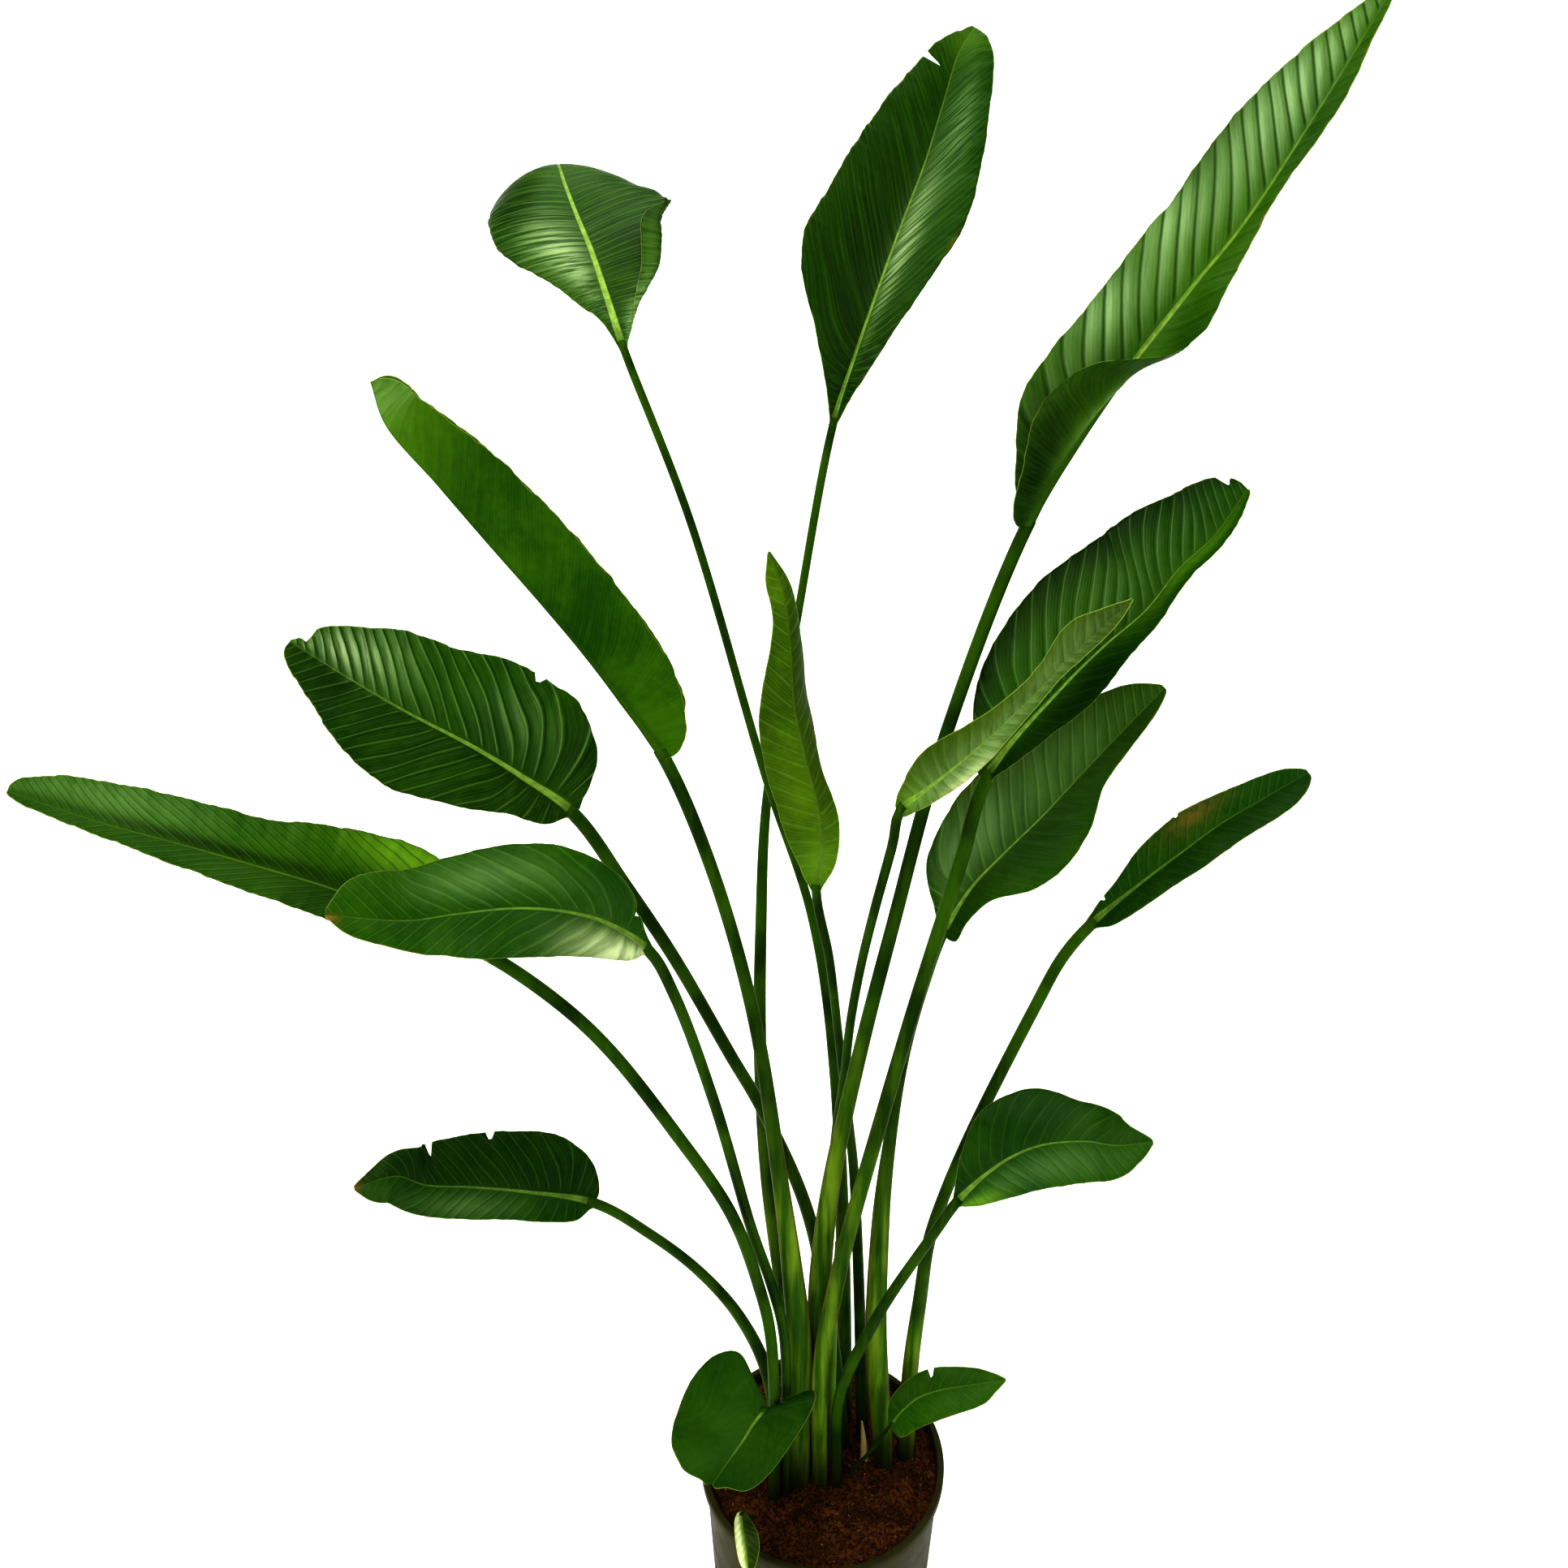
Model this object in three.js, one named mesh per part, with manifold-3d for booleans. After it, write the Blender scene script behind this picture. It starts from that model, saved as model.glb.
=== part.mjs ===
// A giant bird of paradise with seventeen leaves in a plastic nursery pot.
// Millimetres, +Z up. The origin is the middle of the pot's underside, and the plant's front faces -Y.
//
// Each leaf is one smooth spine from its foot in the soil to the tip of its blade. The lower part of
// the spine carries the stalk, whose foot flattens into a sheath. The upper part is the blade's midrib,
// and each half of the blade is swept out from it along an arc.
import * as THREE from 'three';
import { mergeVertices } from 'three/addons/utils/BufferGeometryUtils.js';
import Module from 'manifold-3d';

const wasm = await Module();
wasm.setup();

// ---- Driving dimensions -------------------------------------------------------------------------

const GAP = 0.3;                  // left between pieces that touch

const POT = {
  height: 235,
  footRadius: 114,                // outside, at the floor
  topRadius: 122,                 // outside, just under the rim
  wall: 2,
  floor: 3,
  footChamfer: 2.5,
  rimRadius: 126.5,
  rimDrop: 11,                    // height of the rolled rim's outer skirt
  rimSkin: 2.2,
  segments: 40,
  drainCount: 5,
  drainRadius: 6,
  drainCircle: 62,
};

const SOIL = {
  top: 221,
  crown: 2,                       // how far its middle stands above its edge
  segments: 36,
};

const FOOT_DEPTH = 26;            // how far each stalk reaches into the soil
const STALK_SIDES = 8;
const STALK_STEPS = 11;
const BLADE_STATIONS = 11;
const HALF_STEPS = 4;             // strips across each half of a blade
const BLADE_HALF_THICKNESS = 0.6;
const MIDRIB_TIP_DEPTH = 0.8;
const USUAL_SWEEP = [-0.3, 0.25, 0.35];

const COLOURS = {
  pot: 0x2c332e,
  soil: 0x4a2513,
  stalk: 0x2f5a17,
  glossy: 0x2c6a1c,
  matt: 0x4d7a1b,
  young: 0x76a02c,
  dried: 0xa89868,
};

// ---- The leaves ---------------------------------------------------------------------------------
//
// foot      where the stalk meets the soil, [x, y]
// stalk     points of the spine between the foot and the blade
// midrib    points of the spine along the blade, from its base to its tip
// wide/deep the stalk's width along X and its depth, at even steps from foot to blade
// face      direction that the upper side looks in, at even steps from base to tip
// left/right  half-widths at nine stations, crowded towards both ends; left and right are as seen
//           from the upper side with the tip pointing up
// fold      degrees that each half rises from flat at the midrib, [left, right], from base to tip
// curl      degrees that each half bends on from there to its margin, [left, right]
// sweep     how far each margin lies towards the tip, per unit of half-width, where it isn't usual

const LEAVES = [
  {
    name: 'top_left',
    foot: [26, 54],
    stalk: [[9, 75, 663], [-14, 115, 819], [-56, 150, 944], [-122, 200, 1170]],
    midrib: [[-175, 230, 1307], [-191, 262, 1345], [-207, 296, 1381], [-221, 325, 1406],
      [-235, 356, 1432], [-246, 395, 1449], [-252, 440, 1440], [-255, 480, 1405],
      [-256, 505, 1360]],
    wide: [16, 14, 9, 7.5, 7],
    deep: [12, 10, 8, 7, 7],
    face: [[0.05, -0.8, 0.55], [0.05, -0.6, 0.8], [0, -0.2, 1], [0, 0.3, 1]],
    left: [4, 13, 40, 76, 80, 78, 64, 44, 24],
    right: [6, 24, 56, 76, 82, 82, 70, 48, 26],
    fold: [[15, 8, 0, 0], [15, 8, 0, 0]],
    curl: [[-15, -40, -80, -80], [-10, -25, -65, -60]],
    finish: 'glossy',
  },
  {
    name: 'top_centre',
    foot: [-24, 36],
    stalk: [[-41, 60, 392], [-57, 80, 538], [-63, 100, 672], [-62, 130, 792], [-56, 168, 914],
      [-28, 190, 1085]],
    midrib: [[1, 200, 1249], [19, 215, 1303], [35, 228, 1347], [56, 244, 1402], [75, 258, 1449],
      [88, 270, 1489], [101, 282, 1529], [113, 288, 1547]],
    wide: [16, 14, 12, 8, 7],
    deep: [12, 11, 9, 7, 7],
    face: [[-0.15, -0.95, 0.25], [-0.1, -0.9, 0.4]],
    left: [4, 16, 39, 72, 65, 54, 38, 21, 7],
    right: [5, 13, 24, 38, 52, 46, 38, 30, 16],
    fold: [[35, 25, 15], [45, 25, 15]],
    curl: [[-10, -20, -20], [-10, -20, -20]],
    finish: 'glossy',
  },
  {
    name: 'top_right',
    foot: [-8, -6],
    stalk: [[-7, -9, 403], [-5, -8, 509], [4, -6, 617], [27, -2, 760], [50, 2, 880],
      [83, 10, 1038]],
    midrib: [[136, 20, 1207], [170, 26, 1270], [207, 32, 1326], [240, 37, 1370], [270, 41, 1409],
      [315, 49, 1485], [349, 54, 1549]],
    wide: [20, 22, 14, 11, 10],
    deep: [11, 11, 10, 10, 9],
    face: [[-0.6, -0.8, 0.35], [-0.64, -0.77, 0.38], [-0.5, -0.8, 0.3]],
    left: [8, 28, 52, 50, 51, 50, 37, 20, 7],
    right: [17, 29, 50, 57, 24, 10, 13, 8, 4],
    fold: [[40, 25, 20], [35, 65, 60, 30, 0, 20, 25, 20, 20, 20, 20]],
    curl: [[-10, -20, -10], [60, 85, 105, 130, 50, -15, -20, -20, -20, -10, -10]],
    sweep: [[-0.3, 0.25, 0.35], [-0.3, -0.2, -0.3, -0.4, -0.25, 0.15, 0.3, 0.35, 0.35, 0.35, 0.35]],
    finish: 'glossy',
  },
  {
    name: 'left_folded',
    foot: [-25, -24],
    stalk: [[-25, -20, 418], [-33, -21, 524], [-44, -24, 634], [-64, -28, 804], [-94, -36, 948]],
    midrib: [[-128, -46, 1054], [-155, -50, 1101], [-179, -54, 1139], [-205, -58, 1176],
      [-237, -62, 1219], [-265, -66, 1258], [-292, -70, 1296], [-296, -76, 1323]],
    wide: [22, 24, 15, 11, 10],
    deep: [11, 11, 10, 9, 9],
    face: [[0.8, 0.1, 0.5], [0.8, 0.1, 0.5]],
    left: [16, 34, 46, 49, 49, 46, 39, 33, 27],
    right: [8, 34, 44, 46, 46, 42, 36, 30, 23],
    fold: [[70, 78, 70], [70, 78, 70]],
    curl: [[10, 5, 0], [10, 5, 0]],
    finish: 'matt',
  },
  {
    name: 'left_high',
    foot: [22, 20],
    stalk: [[-14, 18, 536], [-59, 12, 678], [-87, 6, 745], [-132, 0, 850], [-168, -6, 923]],
    midrib: [[-204, -10, 989], [-241, -14, 1023], [-273, -20, 1050], [-320, -30, 1085],
      [-349, -38, 1110], [-384, -54, 1146]],
    wide: [16, 14, 12, 11, 11],
    deep: [11, 11, 11, 10, 10],
    face: [[0.34, -0.66, 0.67], [0.3, -0.7, 0.6]],
    left: [6, 26, 36, 52, 60, 50, 34, 22, 11],
    right: [13, 50, 73, 74, 62, 54, 38, 23, 6],
    fold: [[30, 20, 10], [30, 20, 10]],
    curl: [[-20, -25, -20], [-20, -25, -20]],
    finish: 'glossy',
  },
  {
    name: 'left_long',
    foot: [-50, -40],
    stalk: [[-52, -46, 454], [-63, -50, 529], [-87, -54, 621], [-133, -55, 713], [-183, -56, 799],
      [-219, -57, 844]],
    midrib: [[-269, -58, 889], [-318, -61, 919], [-381, -64, 953], [-431, -66, 973],
      [-481, -68, 992], [-540, -70, 1013], [-599, -72, 1039]],
    wide: [12, 11, 11, 11, 11],
    deep: [11, 11, 11, 10, 10],
    face: [[0.3, -0.5, 0.8], [0.3, -0.5, 0.8]],
    left: [6, 17, 26, 29, 25, 19, 12, 9, 5],
    right: [10, 34, 54, 49, 37, 35, 32, 24, 13],
    fold: [[30, 25, 15], [30, 25, 15]],
    curl: [[-20, -20, -10], [-20, -20, -10]],
    finish: 'glossy',
  },
  {
    name: 'left_front',
    foot: [-39, -33],
    stalk: [[-40, -33, 445], [-51, -34, 510], [-69, -37, 584], [-98, -58, 746], [-125, -80, 869]],
    midrib: [[-141, -88, 913], [-170, -98, 944], [-196, -104, 957], [-230, -110, 964],
      [-273, -116, 963], [-308, -122, 961], [-361, -132, 972]],
    wide: [10, 10, 10, 9.5, 9],
    deep: [10, 10, 9, 9, 9],
    face: [[0.2, -0.65, 0.7], [0.2, -0.65, 0.7]],
    left: [5, 20, 30, 37, 37, 29, 20, 14, 5],
    right: [4, 14, 37, 48, 46, 40, 36, 28, 10],
    fold: [[30, 20, 20], [30, 20, 20]],
    curl: [[-20, -30, -20], [-20, -30, -20]],
    finish: 'glossy',
  },
  {
    name: 'left_low',
    foot: [-46, 8],
    stalk: [[-57, -4, 362], [-84, -14, 452], [-120, -26, 523], [-161, -38, 580]],
    midrib: [[-206, -50, 628], [-261, -58, 648], [-306, -66, 661], [-343, -74, 671],
      [-363, -80, 686], [-396, -90, 683]],
    wide: [16, 14, 12, 10, 9],
    deep: [11, 11, 10, 9, 9],
    face: [[0.1, -0.6, 0.8], [0.1, -0.6, 0.8]],
    left: [6, 20, 24, 25, 27, 25, 23, 17, 6],
    right: [15, 35, 50, 50, 44, 36, 23, 11, 4],
    fold: [[25, 15, 10], [25, 15, 10]],
    curl: [[-20, -25, -20], [-20, -25, -20]],
    finish: 'glossy',
  },
  {
    name: 'pot_heart',
    foot: [-68, -26],
    stalk: [[-67, -36, 300], [-62, -52, 356]],
    midrib: [[-57, -56, 375], [-68, -66, 369], [-79, -80, 361], [-92, -98, 357], [-106, -118, 352]],
    wide: [5, 4.5, 4],
    deep: [5, 4.5, 4],
    face: [[0.1, -0.75, 0.65], [0.1, -0.7, 0.7]],
    left: [5, 30, 39, 39, 35, 26, 14, 8, 4],
    right: [8, 48, 72, 68, 54, 34, 18, 10, 6],
    fold: [[15, 10, 5], [15, 10, 5]],
    curl: [[-5, -15, -10], [-5, -15, -10]],
    sweep: [[0, -0.5, -0.35, -0.05, 0.1, 0.3, 0.5, 0.6, 0.7, 0.7, 0.7],
      [0, -0.5, -0.2, 0.15, 0.45, 0.75, 1, 1.2, 1.3, 1.2, 1]],
    finish: 'glossy',
  },
  {
    name: 'rim_sprout',
    foot: [-72, -62],
    stalk: [[-77, -78, 246]],
    midrib: [[-81, -90, 272], [-80, -106, 277], [-76, -124, 271], [-73, -138, 257]],
    wide: [4, 3],
    deep: [4, 3],
    face: [[0, -0.6, 0.8], [0, -0.8, 0.5]],
    left: [3, 5, 8, 12, 14, 13, 10, 7, 4],
    right: [3, 5, 7, 8, 9, 9, 8, 6, 3],
    fold: [[15], [15]],
    curl: [[-10], [-10]],
    sweep: [[0.2], [0.2]],
    finish: 'young',
  },
  {
    name: 'centre_young',
    foot: [44, 34],
    stalk: [[27, 36, 578], [20, 36, 647], [9, 32, 743], [-1, 28, 831]],
    midrib: [[-13, 24, 900], [-9, 22, 938], [-14, 20, 984], [-24, 19, 1027], [-32, 18, 1069],
      [-35, 18, 1115], [-40, 19, 1156], [-51, 20, 1190]],
    wide: [14, 12, 10, 8, 8],
    deep: [11, 10, 9, 8, 8],
    face: [[-0.3, -0.9, 0.2]],
    left: [6, 18, 29, 33, 31, 21, 12, 11, 4],
    right: [6, 13, 16, 14, 20, 18, 13, 9, 3],
    fold: [[15], [10, 0, -50, -60, -60, -50, -40]],
    curl: [[25, 20], [20, -10, -30, -30]],
    sweep: [[-0.3, 0.25, 0.35], [0.1, 0.2, 0.3]],
    finish: 'young',
  },
  {
    name: 'right_slim',
    foot: [-8, 42],
    stalk: [[8, 27, 638], [14, 21, 707], [18, 16, 772], [25, 8, 836], [34, -4, 899],
      [45, -18, 967]],
    midrib: [[49, -26, 1000], [66, -31, 1019], [89, -36, 1043], [113, -42, 1071], [139, -49, 1105],
      [157, -55, 1132], [177, -62, 1158], [195, -68, 1181]],
    wide: [14, 11, 9, 8, 8],
    deep: [10, 9, 8, 8, 8],
    face: [[-0.3, -0.8, 0.5]],
    left: [6, 16, 25, 19, 13, 12, 18, 10, 3],
    right: [8, 12, 16, 16, 11, 8, 9, 8, 3],
    fold: [[25, 30, 30], [25, 30, 30]],
    curl: [[0, -10, -10], [0, -10, -10]],
    sweep: [[-0.4, 0.1, 0.3, 0.35, 0.35], [-0.3, 0.25, 0.35]],
    finish: 'matt',
  },
  {
    name: 'right_high',
    foot: [-3, -23],
    stalk: [[-4, -29, 402], [6, -28, 488], [17, -26, 558], [41, -22, 678], [71, -16, 820],
      [101, -10, 948]],
    midrib: [[117, -6, 1018], [172, 2, 1092], [200, 6, 1122], [228, 8, 1149], [249, 10, 1180],
      [271, 12, 1203], [291, 14, 1237]],
    wide: [17, 17, 14, 12, 11],
    deep: [11, 11, 11, 11, 11],
    face: [[-0.43, -0.69, 0.57]],
    left: [11, 28, 53, 67, 69, 60, 46, 35, 18],
    right: [6, 18, 30, 42, 32, 22, 20, 15, 8],
    fold: [[30, 25, 15], [30, 35, 40, 40]],
    curl: [[-15, -20, -10], [0, 0, 0]],
    finish: 'glossy',
  },
  {
    name: 'right_middle',
    foot: [64, -2],
    stalk: [[51, 0, 403], [50, 2, 509], [53, 4, 608], [66, 8, 743], [81, 12, 817]],
    midrib: [[94, 16, 862], [115, 18, 906], [143, 20, 941], [170, 22, 972], [204, 24, 1016],
      [256, 28, 1080]],
    wide: [20, 22, 18, 10, 8],
    deep: [12, 12, 11, 9, 8],
    face: [[-0.2, -0.9, 0.4]],
    left: [6, 20, 48, 62, 62, 54, 38, 24, 9],
    right: [13, 15, 24, 46, 38, 20, 14, 10, 5],
    fold: [[30, 25, 15], [30, 25, 15]],
    curl: [[-15, -20, -10], [-15, -20, -10]],
    finish: 'glossy',
  },
  {
    name: 'right_far',
    foot: [88, 8],
    stalk: [[88, 8, 359], [93, 8, 449], [98, 8, 524], [110, 8, 584], [132, 10, 660], [178, 16, 789],
      [198, 20, 837]],
    midrib: [[219, 24, 866], [255, 24, 905], [285, 22, 936], [314, 20, 965], [343, 18, 988],
      [375, 16, 1013]],
    wide: [20, 16, 12, 11, 10],
    deep: [12, 12, 11, 10, 10],
    face: [[-0.3, -0.7, 0.65]],
    left: [4, 9, 15, 24, 27, 22, 18, 13, 6],
    right: [5, 15, 19, 20, 22, 21, 20, 16, 8],
    fold: [[30, 20, 15], [30, 20, 15]],
    curl: [[-10, -15, -10], [-10, -15, -10]],
    finish: 'glossy',
  },
  {
    name: 'right_low',
    foot: [14, -24],
    stalk: [[13, -31, 348], [22, -36, 401], [36, -40, 449], [56, -46, 509], [92, -56, 598]],
    midrib: [[109, -60, 638], [131, -66, 675], [152, -72, 701], [174, -78, 718], [206, -90, 732],
      [226, -98, 735], [253, -108, 747]],
    wide: [12, 11, 11, 10, 9],
    deep: [11, 11, 10, 9, 9],
    face: [[-0.1, -0.65, 0.75]],
    left: [4, 12, 26, 44, 46, 33, 26, 13, 5],
    right: [5, 14, 23, 31, 35, 33, 28, 15, 5],
    fold: [[25, 15, 10], [25, 15, 10]],
    curl: [[-15, -25, -20], [-15, -25, -20]],
    finish: 'glossy',
  },
  {
    name: 'right_small',
    foot: [30, -14],
    stalk: [[46, -20, 262]],
    midrib: [[67, -20, 304], [78, -24, 331], [93, -28, 355], [112, -32, 370], [135, -36, 381],
      [173, -42, 397]],
    wide: [4, 3.5],
    deep: [4, 3.5],
    face: [[-0.1, -0.6, 0.8]],
    left: [4, 9, 16, 19, 21, 18, 14, 8, 3],
    right: [12, 18, 21, 25, 25, 22, 18, 9, 3],
    fold: [[25, 15, 10], [25, 15, 10]],
    curl: [[-15, -25, -20], [-15, -25, -20]],
    finish: 'glossy',
  },
];

// Two plain shoots without a blade: spine points, with widths and depths at even steps.
const SHOOTS = [
  {
    name: 'young_shoot',
    foot: [8, 0],
    stalk: [[9, 1, 420], [9, 2, 530]],
    wide: [8, 7.5, 6.5, 1.5],
    deep: [6, 6, 5, 1.5],
    finish: 'young',
  },
  {
    name: 'dried_sheath',
    foot: [44, 2],
    stalk: [[43, 1, 250], [40, 0, 285]],
    wide: [10, 9, 6, 2],
    deep: [4, 4, 3, 1.5],
    finish: 'dried',
  },
];

// ---- Curves and surfaces ------------------------------------------------------------------------

const radians = THREE.MathUtils.degToRad;
const vector = (point) => new THREE.Vector3(...point);

// Value of a list of numbers or vectors, spread evenly over 0 to 1, read at t.
function along(values, t) {
  if (values.length === 1) return values[0];
  const place = Math.min(Math.max(t, 0), 1) * (values.length - 1);
  const index = Math.min(Math.floor(place), values.length - 2);
  const s = place - index;
  const before = values[index - 1] ?? 2 * values[0] - values[1];
  const after = values[index + 2] ?? 2 * values[index + 1] - values[index];
  const [from, to] = [values[index], values[index + 1]];
  const slopeFrom = (to - before) / 2;
  const slopeTo = (after - from) / 2;
  return from * (1 + 2 * s) * (1 - s) ** 2 + slopeFrom * s * (1 - s) ** 2
    + to * s * s * (3 - 2 * s) + slopeTo * s * s * (s - 1);
}

const alongVectors = (list, t) => new THREE.Vector3(
  ...[0, 1, 2].map((axis) => along(list.map((item) => item[axis]), t)),
);

// A stretch of a spine, from one of its points to another, read at even lengths.
function stretch(points, first, last) {
  const curve = new THREE.CatmullRomCurve3(points, false, 'centripetal');
  const samples = 200;
  const whole = points.length - 1;
  const at = (k) => (first + (last - first) * k / samples) / whole;
  const lengths = [0];
  for (let k = 1; k <= samples; k += 1) {
    lengths.push(lengths[k - 1] + curve.getPoint(at(k - 1)).distanceTo(curve.getPoint(at(k))));
  }
  const total = lengths[samples];
  const parameter = (u) => {
    let k = 1;
    while (k < samples && lengths[k] < u * total) k += 1;
    const part = (u * total - lengths[k - 1]) / (lengths[k] - lengths[k - 1]);
    return at(k - 1 + part);
  };
  return {
    length: total,
    point: (u) => curve.getPoint(parameter(u)),
    tangent: (u) => curve.getTangent(parameter(u)),
  };
}

// A closed solid through rings of equally many points, with a fan over each end. Both halves of a
// ring are cut along the same diagonals, so the two faces of a thin, twisted blade never cross.
function ringSolid(rings, firstEnd, lastEnd) {
  const count = rings[0].length;
  const positions = [];
  rings.flat().forEach((p) => positions.push(p.x, p.y, p.z));
  positions.push(firstEnd.x, firstEnd.y, firstEnd.z, lastEnd.x, lastEnd.y, lastEnd.z);
  const firstIndex = rings.length * count;
  const lastRing = (rings.length - 1) * count;
  const index = [];
  for (let k = 0; k < count; k += 1) {
    const next = (k + 1) % count;
    const upper = k < count / 2;
    index.push(firstIndex, next, k, firstIndex + 1, lastRing + k, lastRing + next);
    for (let r = 0; r < rings.length - 1; r += 1) {
      const [a, b] = [r * count + k, r * count + next];
      const [c, d] = [b + count, a + count];
      index.push(...(upper ? [a, b, c, a, c, d] : [a, b, d, b, c, d]));
    }
  }
  const geometry = new THREE.BufferGeometry();
  geometry.setAttribute('position', new THREE.Float32BufferAttribute(positions, 3));
  geometry.setIndex(index);
  return geometry;
}

// ---- Stalks -------------------------------------------------------------------------------------

function spine(leaf) {
  const [x, y] = leaf.foot;
  const foot = [[x, y, SOIL.top - FOOT_DEPTH], [x, y, SOIL.top + 4]];
  return [...foot, ...leaf.stalk, ...(leaf.midrib ?? [])].map(vector);
}

// Elliptical rings along the stalk, with the long axis as near to X as the spine allows.
// margin widens every ring, and is used for the sockets in the soil.
function stalkSolid(leaf, margin = 0) {
  const points = spine(leaf);
  const top = leaf.midrib ? 2 + leaf.stalk.length : points.length - 1;
  const path = stretch(points, 0, top);
  const rings = [];
  for (let k = 0; k <= STALK_STEPS; k += 1) {
    const u = k / STALK_STEPS;
    const centre = path.point(u);
    const forward = path.tangent(u);
    const across = new THREE.Vector3(1, 0, 0).addScaledVector(forward, -forward.x).normalize();
    const back = new THREE.Vector3().crossVectors(forward, across);
    const halfWidth = along(leaf.wide, u) / 2 + margin;
    const halfDepth = along(leaf.deep, u) / 2 + margin;
    const ring = [];
    for (let side = 0; side < STALK_SIDES; side += 1) {
      const angle = (side / STALK_SIDES) * 2 * Math.PI;
      ring.push(centre.clone()
        .addScaledVector(across, halfWidth * Math.cos(angle))
        .addScaledVector(back, halfDepth * Math.sin(angle)));
    }
    rings.push(ring);
  }
  return ringSolid(rings, path.point(0), path.point(1));
}

// ---- Blades -------------------------------------------------------------------------------------

// Half-width at u, through nine stations that crowd towards both ends, so both ends are round.
function halfWidth(stations, u) {
  const place = Math.acos(1 - 2 * u) / Math.PI;
  return Math.max(along([0, ...stations, 0], place), 0);
}

// One half's cross-curve at u: it leaves the midrib at the fold angle and bends on by the curl,
// so it is an arc. Returns the offset across and up, and the angle, at part v of its width.
function crossCurve(leaf, side, u, v) {
  const which = side < 0 ? 0 : 1;
  const fold = radians(along(leaf.fold[which], u));
  const curl = radians(along(leaf.curl[which], u));
  const angle = fold + curl * v;
  if (Math.abs(curl) < 1e-3) return { across: v * Math.cos(fold), up: v * Math.sin(fold), angle };
  return {
    across: (Math.sin(angle) - Math.sin(fold)) / curl,
    up: (Math.cos(fold) - Math.cos(angle)) / curl,
    angle,
  };
}

function bladeSolid(leaf) {
  const points = spine(leaf);
  const path = stretch(points, 2 + leaf.stalk.length, points.length - 1);
  const neckWide = leaf.wide.at(-1) / 2;
  const neckDeep = leaf.deep.at(-1) / 2;
  const ringSize = 4 * HALF_STEPS;
  const rings = [];

  const frameAt = (u) => {
    const forward = path.tangent(u);
    const face = alongVectors(leaf.face, u);
    const normal = face.addScaledVector(forward, -face.dot(forward)).normalize();
    const across = new THREE.Vector3().crossVectors(forward, normal);
    return { centre: path.point(u), forward, normal, across };
  };

  // The root is a ring as thick as the stalk, a gap away from the stalk's end.
  const root = frameAt(0);
  const rootCentre = root.centre.clone().addScaledVector(root.forward, GAP);
  const rootRing = [];
  for (let k = 0; k < ringSize; k += 1) {
    const angle = Math.PI - (k / ringSize) * 2 * Math.PI;
    rootRing.push(rootCentre.clone()
      .addScaledVector(root.across, neckWide * Math.cos(angle))
      .addScaledVector(root.normal, neckDeep * Math.sin(angle)));
  }
  rings.push(rootRing);

  const surfacePoint = (frame, u, v, offset) => {
    if (v === 0) return frame.centre.clone().addScaledVector(frame.normal, offset);
    const side = Math.sign(v);
    const width = halfWidth(side < 0 ? leaf.left : leaf.right, u);
    const { across, up, angle } = crossCurve(leaf, side, u, Math.abs(v));
    const sweep = leaf.sweep ? leaf.sweep[side < 0 ? 0 : 1] : USUAL_SWEEP;
    return frame.centre.clone()
      .addScaledVector(frame.across, side * (width * across - offset * Math.sin(angle)))
      .addScaledVector(frame.normal, width * up + offset * Math.cos(angle))
      .addScaledVector(frame.forward, width * Math.abs(v) * along(sweep, u));
  };

  for (let k = 1; k < BLADE_STATIONS; k += 1) {
    const u = (1 - Math.cos((Math.PI * k) / BLADE_STATIONS)) / 2;
    const frame = frameAt(u);
    const meanFold = radians((along(leaf.fold[0], u) + along(leaf.fold[1], u)) / 2);
    const keel = BLADE_HALF_THICKNESS / Math.cos(meanFold);
    const midribDepth = Math.max(THREE.MathUtils.lerp(neckDeep, MIDRIB_TIP_DEPTH, Math.sqrt(u)), keel);
    const ring = [];
    for (let step = -HALF_STEPS; step <= HALF_STEPS; step += 1) {
      const atMargin = Math.abs(step) === HALF_STEPS;
      const height = step === 0 ? keel : BLADE_HALF_THICKNESS;
      ring.push(surfacePoint(frame, u, step / HALF_STEPS, atMargin ? 0 : height));
    }
    for (let step = HALF_STEPS - 1; step > -HALF_STEPS; step -= 1) {
      const depth = step === 0 ? midribDepth : BLADE_HALF_THICKNESS;
      ring.push(surfacePoint(frame, u, step / HALF_STEPS, -depth));
    }
    rings.push(ring);
  }
  return ringSolid(rings, rootCentre, path.point(1));
}

// ---- Pot and soil -------------------------------------------------------------------------------

function lathe(profile, segments) {
  const turned = new THREE.LatheGeometry(profile.map(([r, z]) => new THREE.Vector2(r, z)), segments);
  return turned.rotateX(Math.PI / 2);
}

function toManifold(geometry) {
  const bare = geometry.clone();
  bare.deleteAttribute('normal');
  bare.deleteAttribute('uv');
  const merged = mergeVertices(bare, 1e-4);
  const solid = new wasm.Manifold(new wasm.Mesh({
    numProp: 3,
    vertProperties: new Float32Array(merged.attributes.position.array),
    triVerts: new Uint32Array(merged.index.array),
  }));
  return solid;
}

function fromManifold(solid) {
  const mesh = solid.getMesh();
  const geometry = new THREE.BufferGeometry();
  geometry.setAttribute('position', new THREE.BufferAttribute(new Float32Array(mesh.vertProperties), 3));
  geometry.setIndex(new THREE.BufferAttribute(new Uint32Array(mesh.triVerts), 1));
  return geometry;
}

const slope = (POT.topRadius - POT.footRadius) / POT.height;
const outsideAt = (z) => POT.footRadius + slope * z;
const insideAt = (z) => outsideAt(z) - POT.wall;

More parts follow.
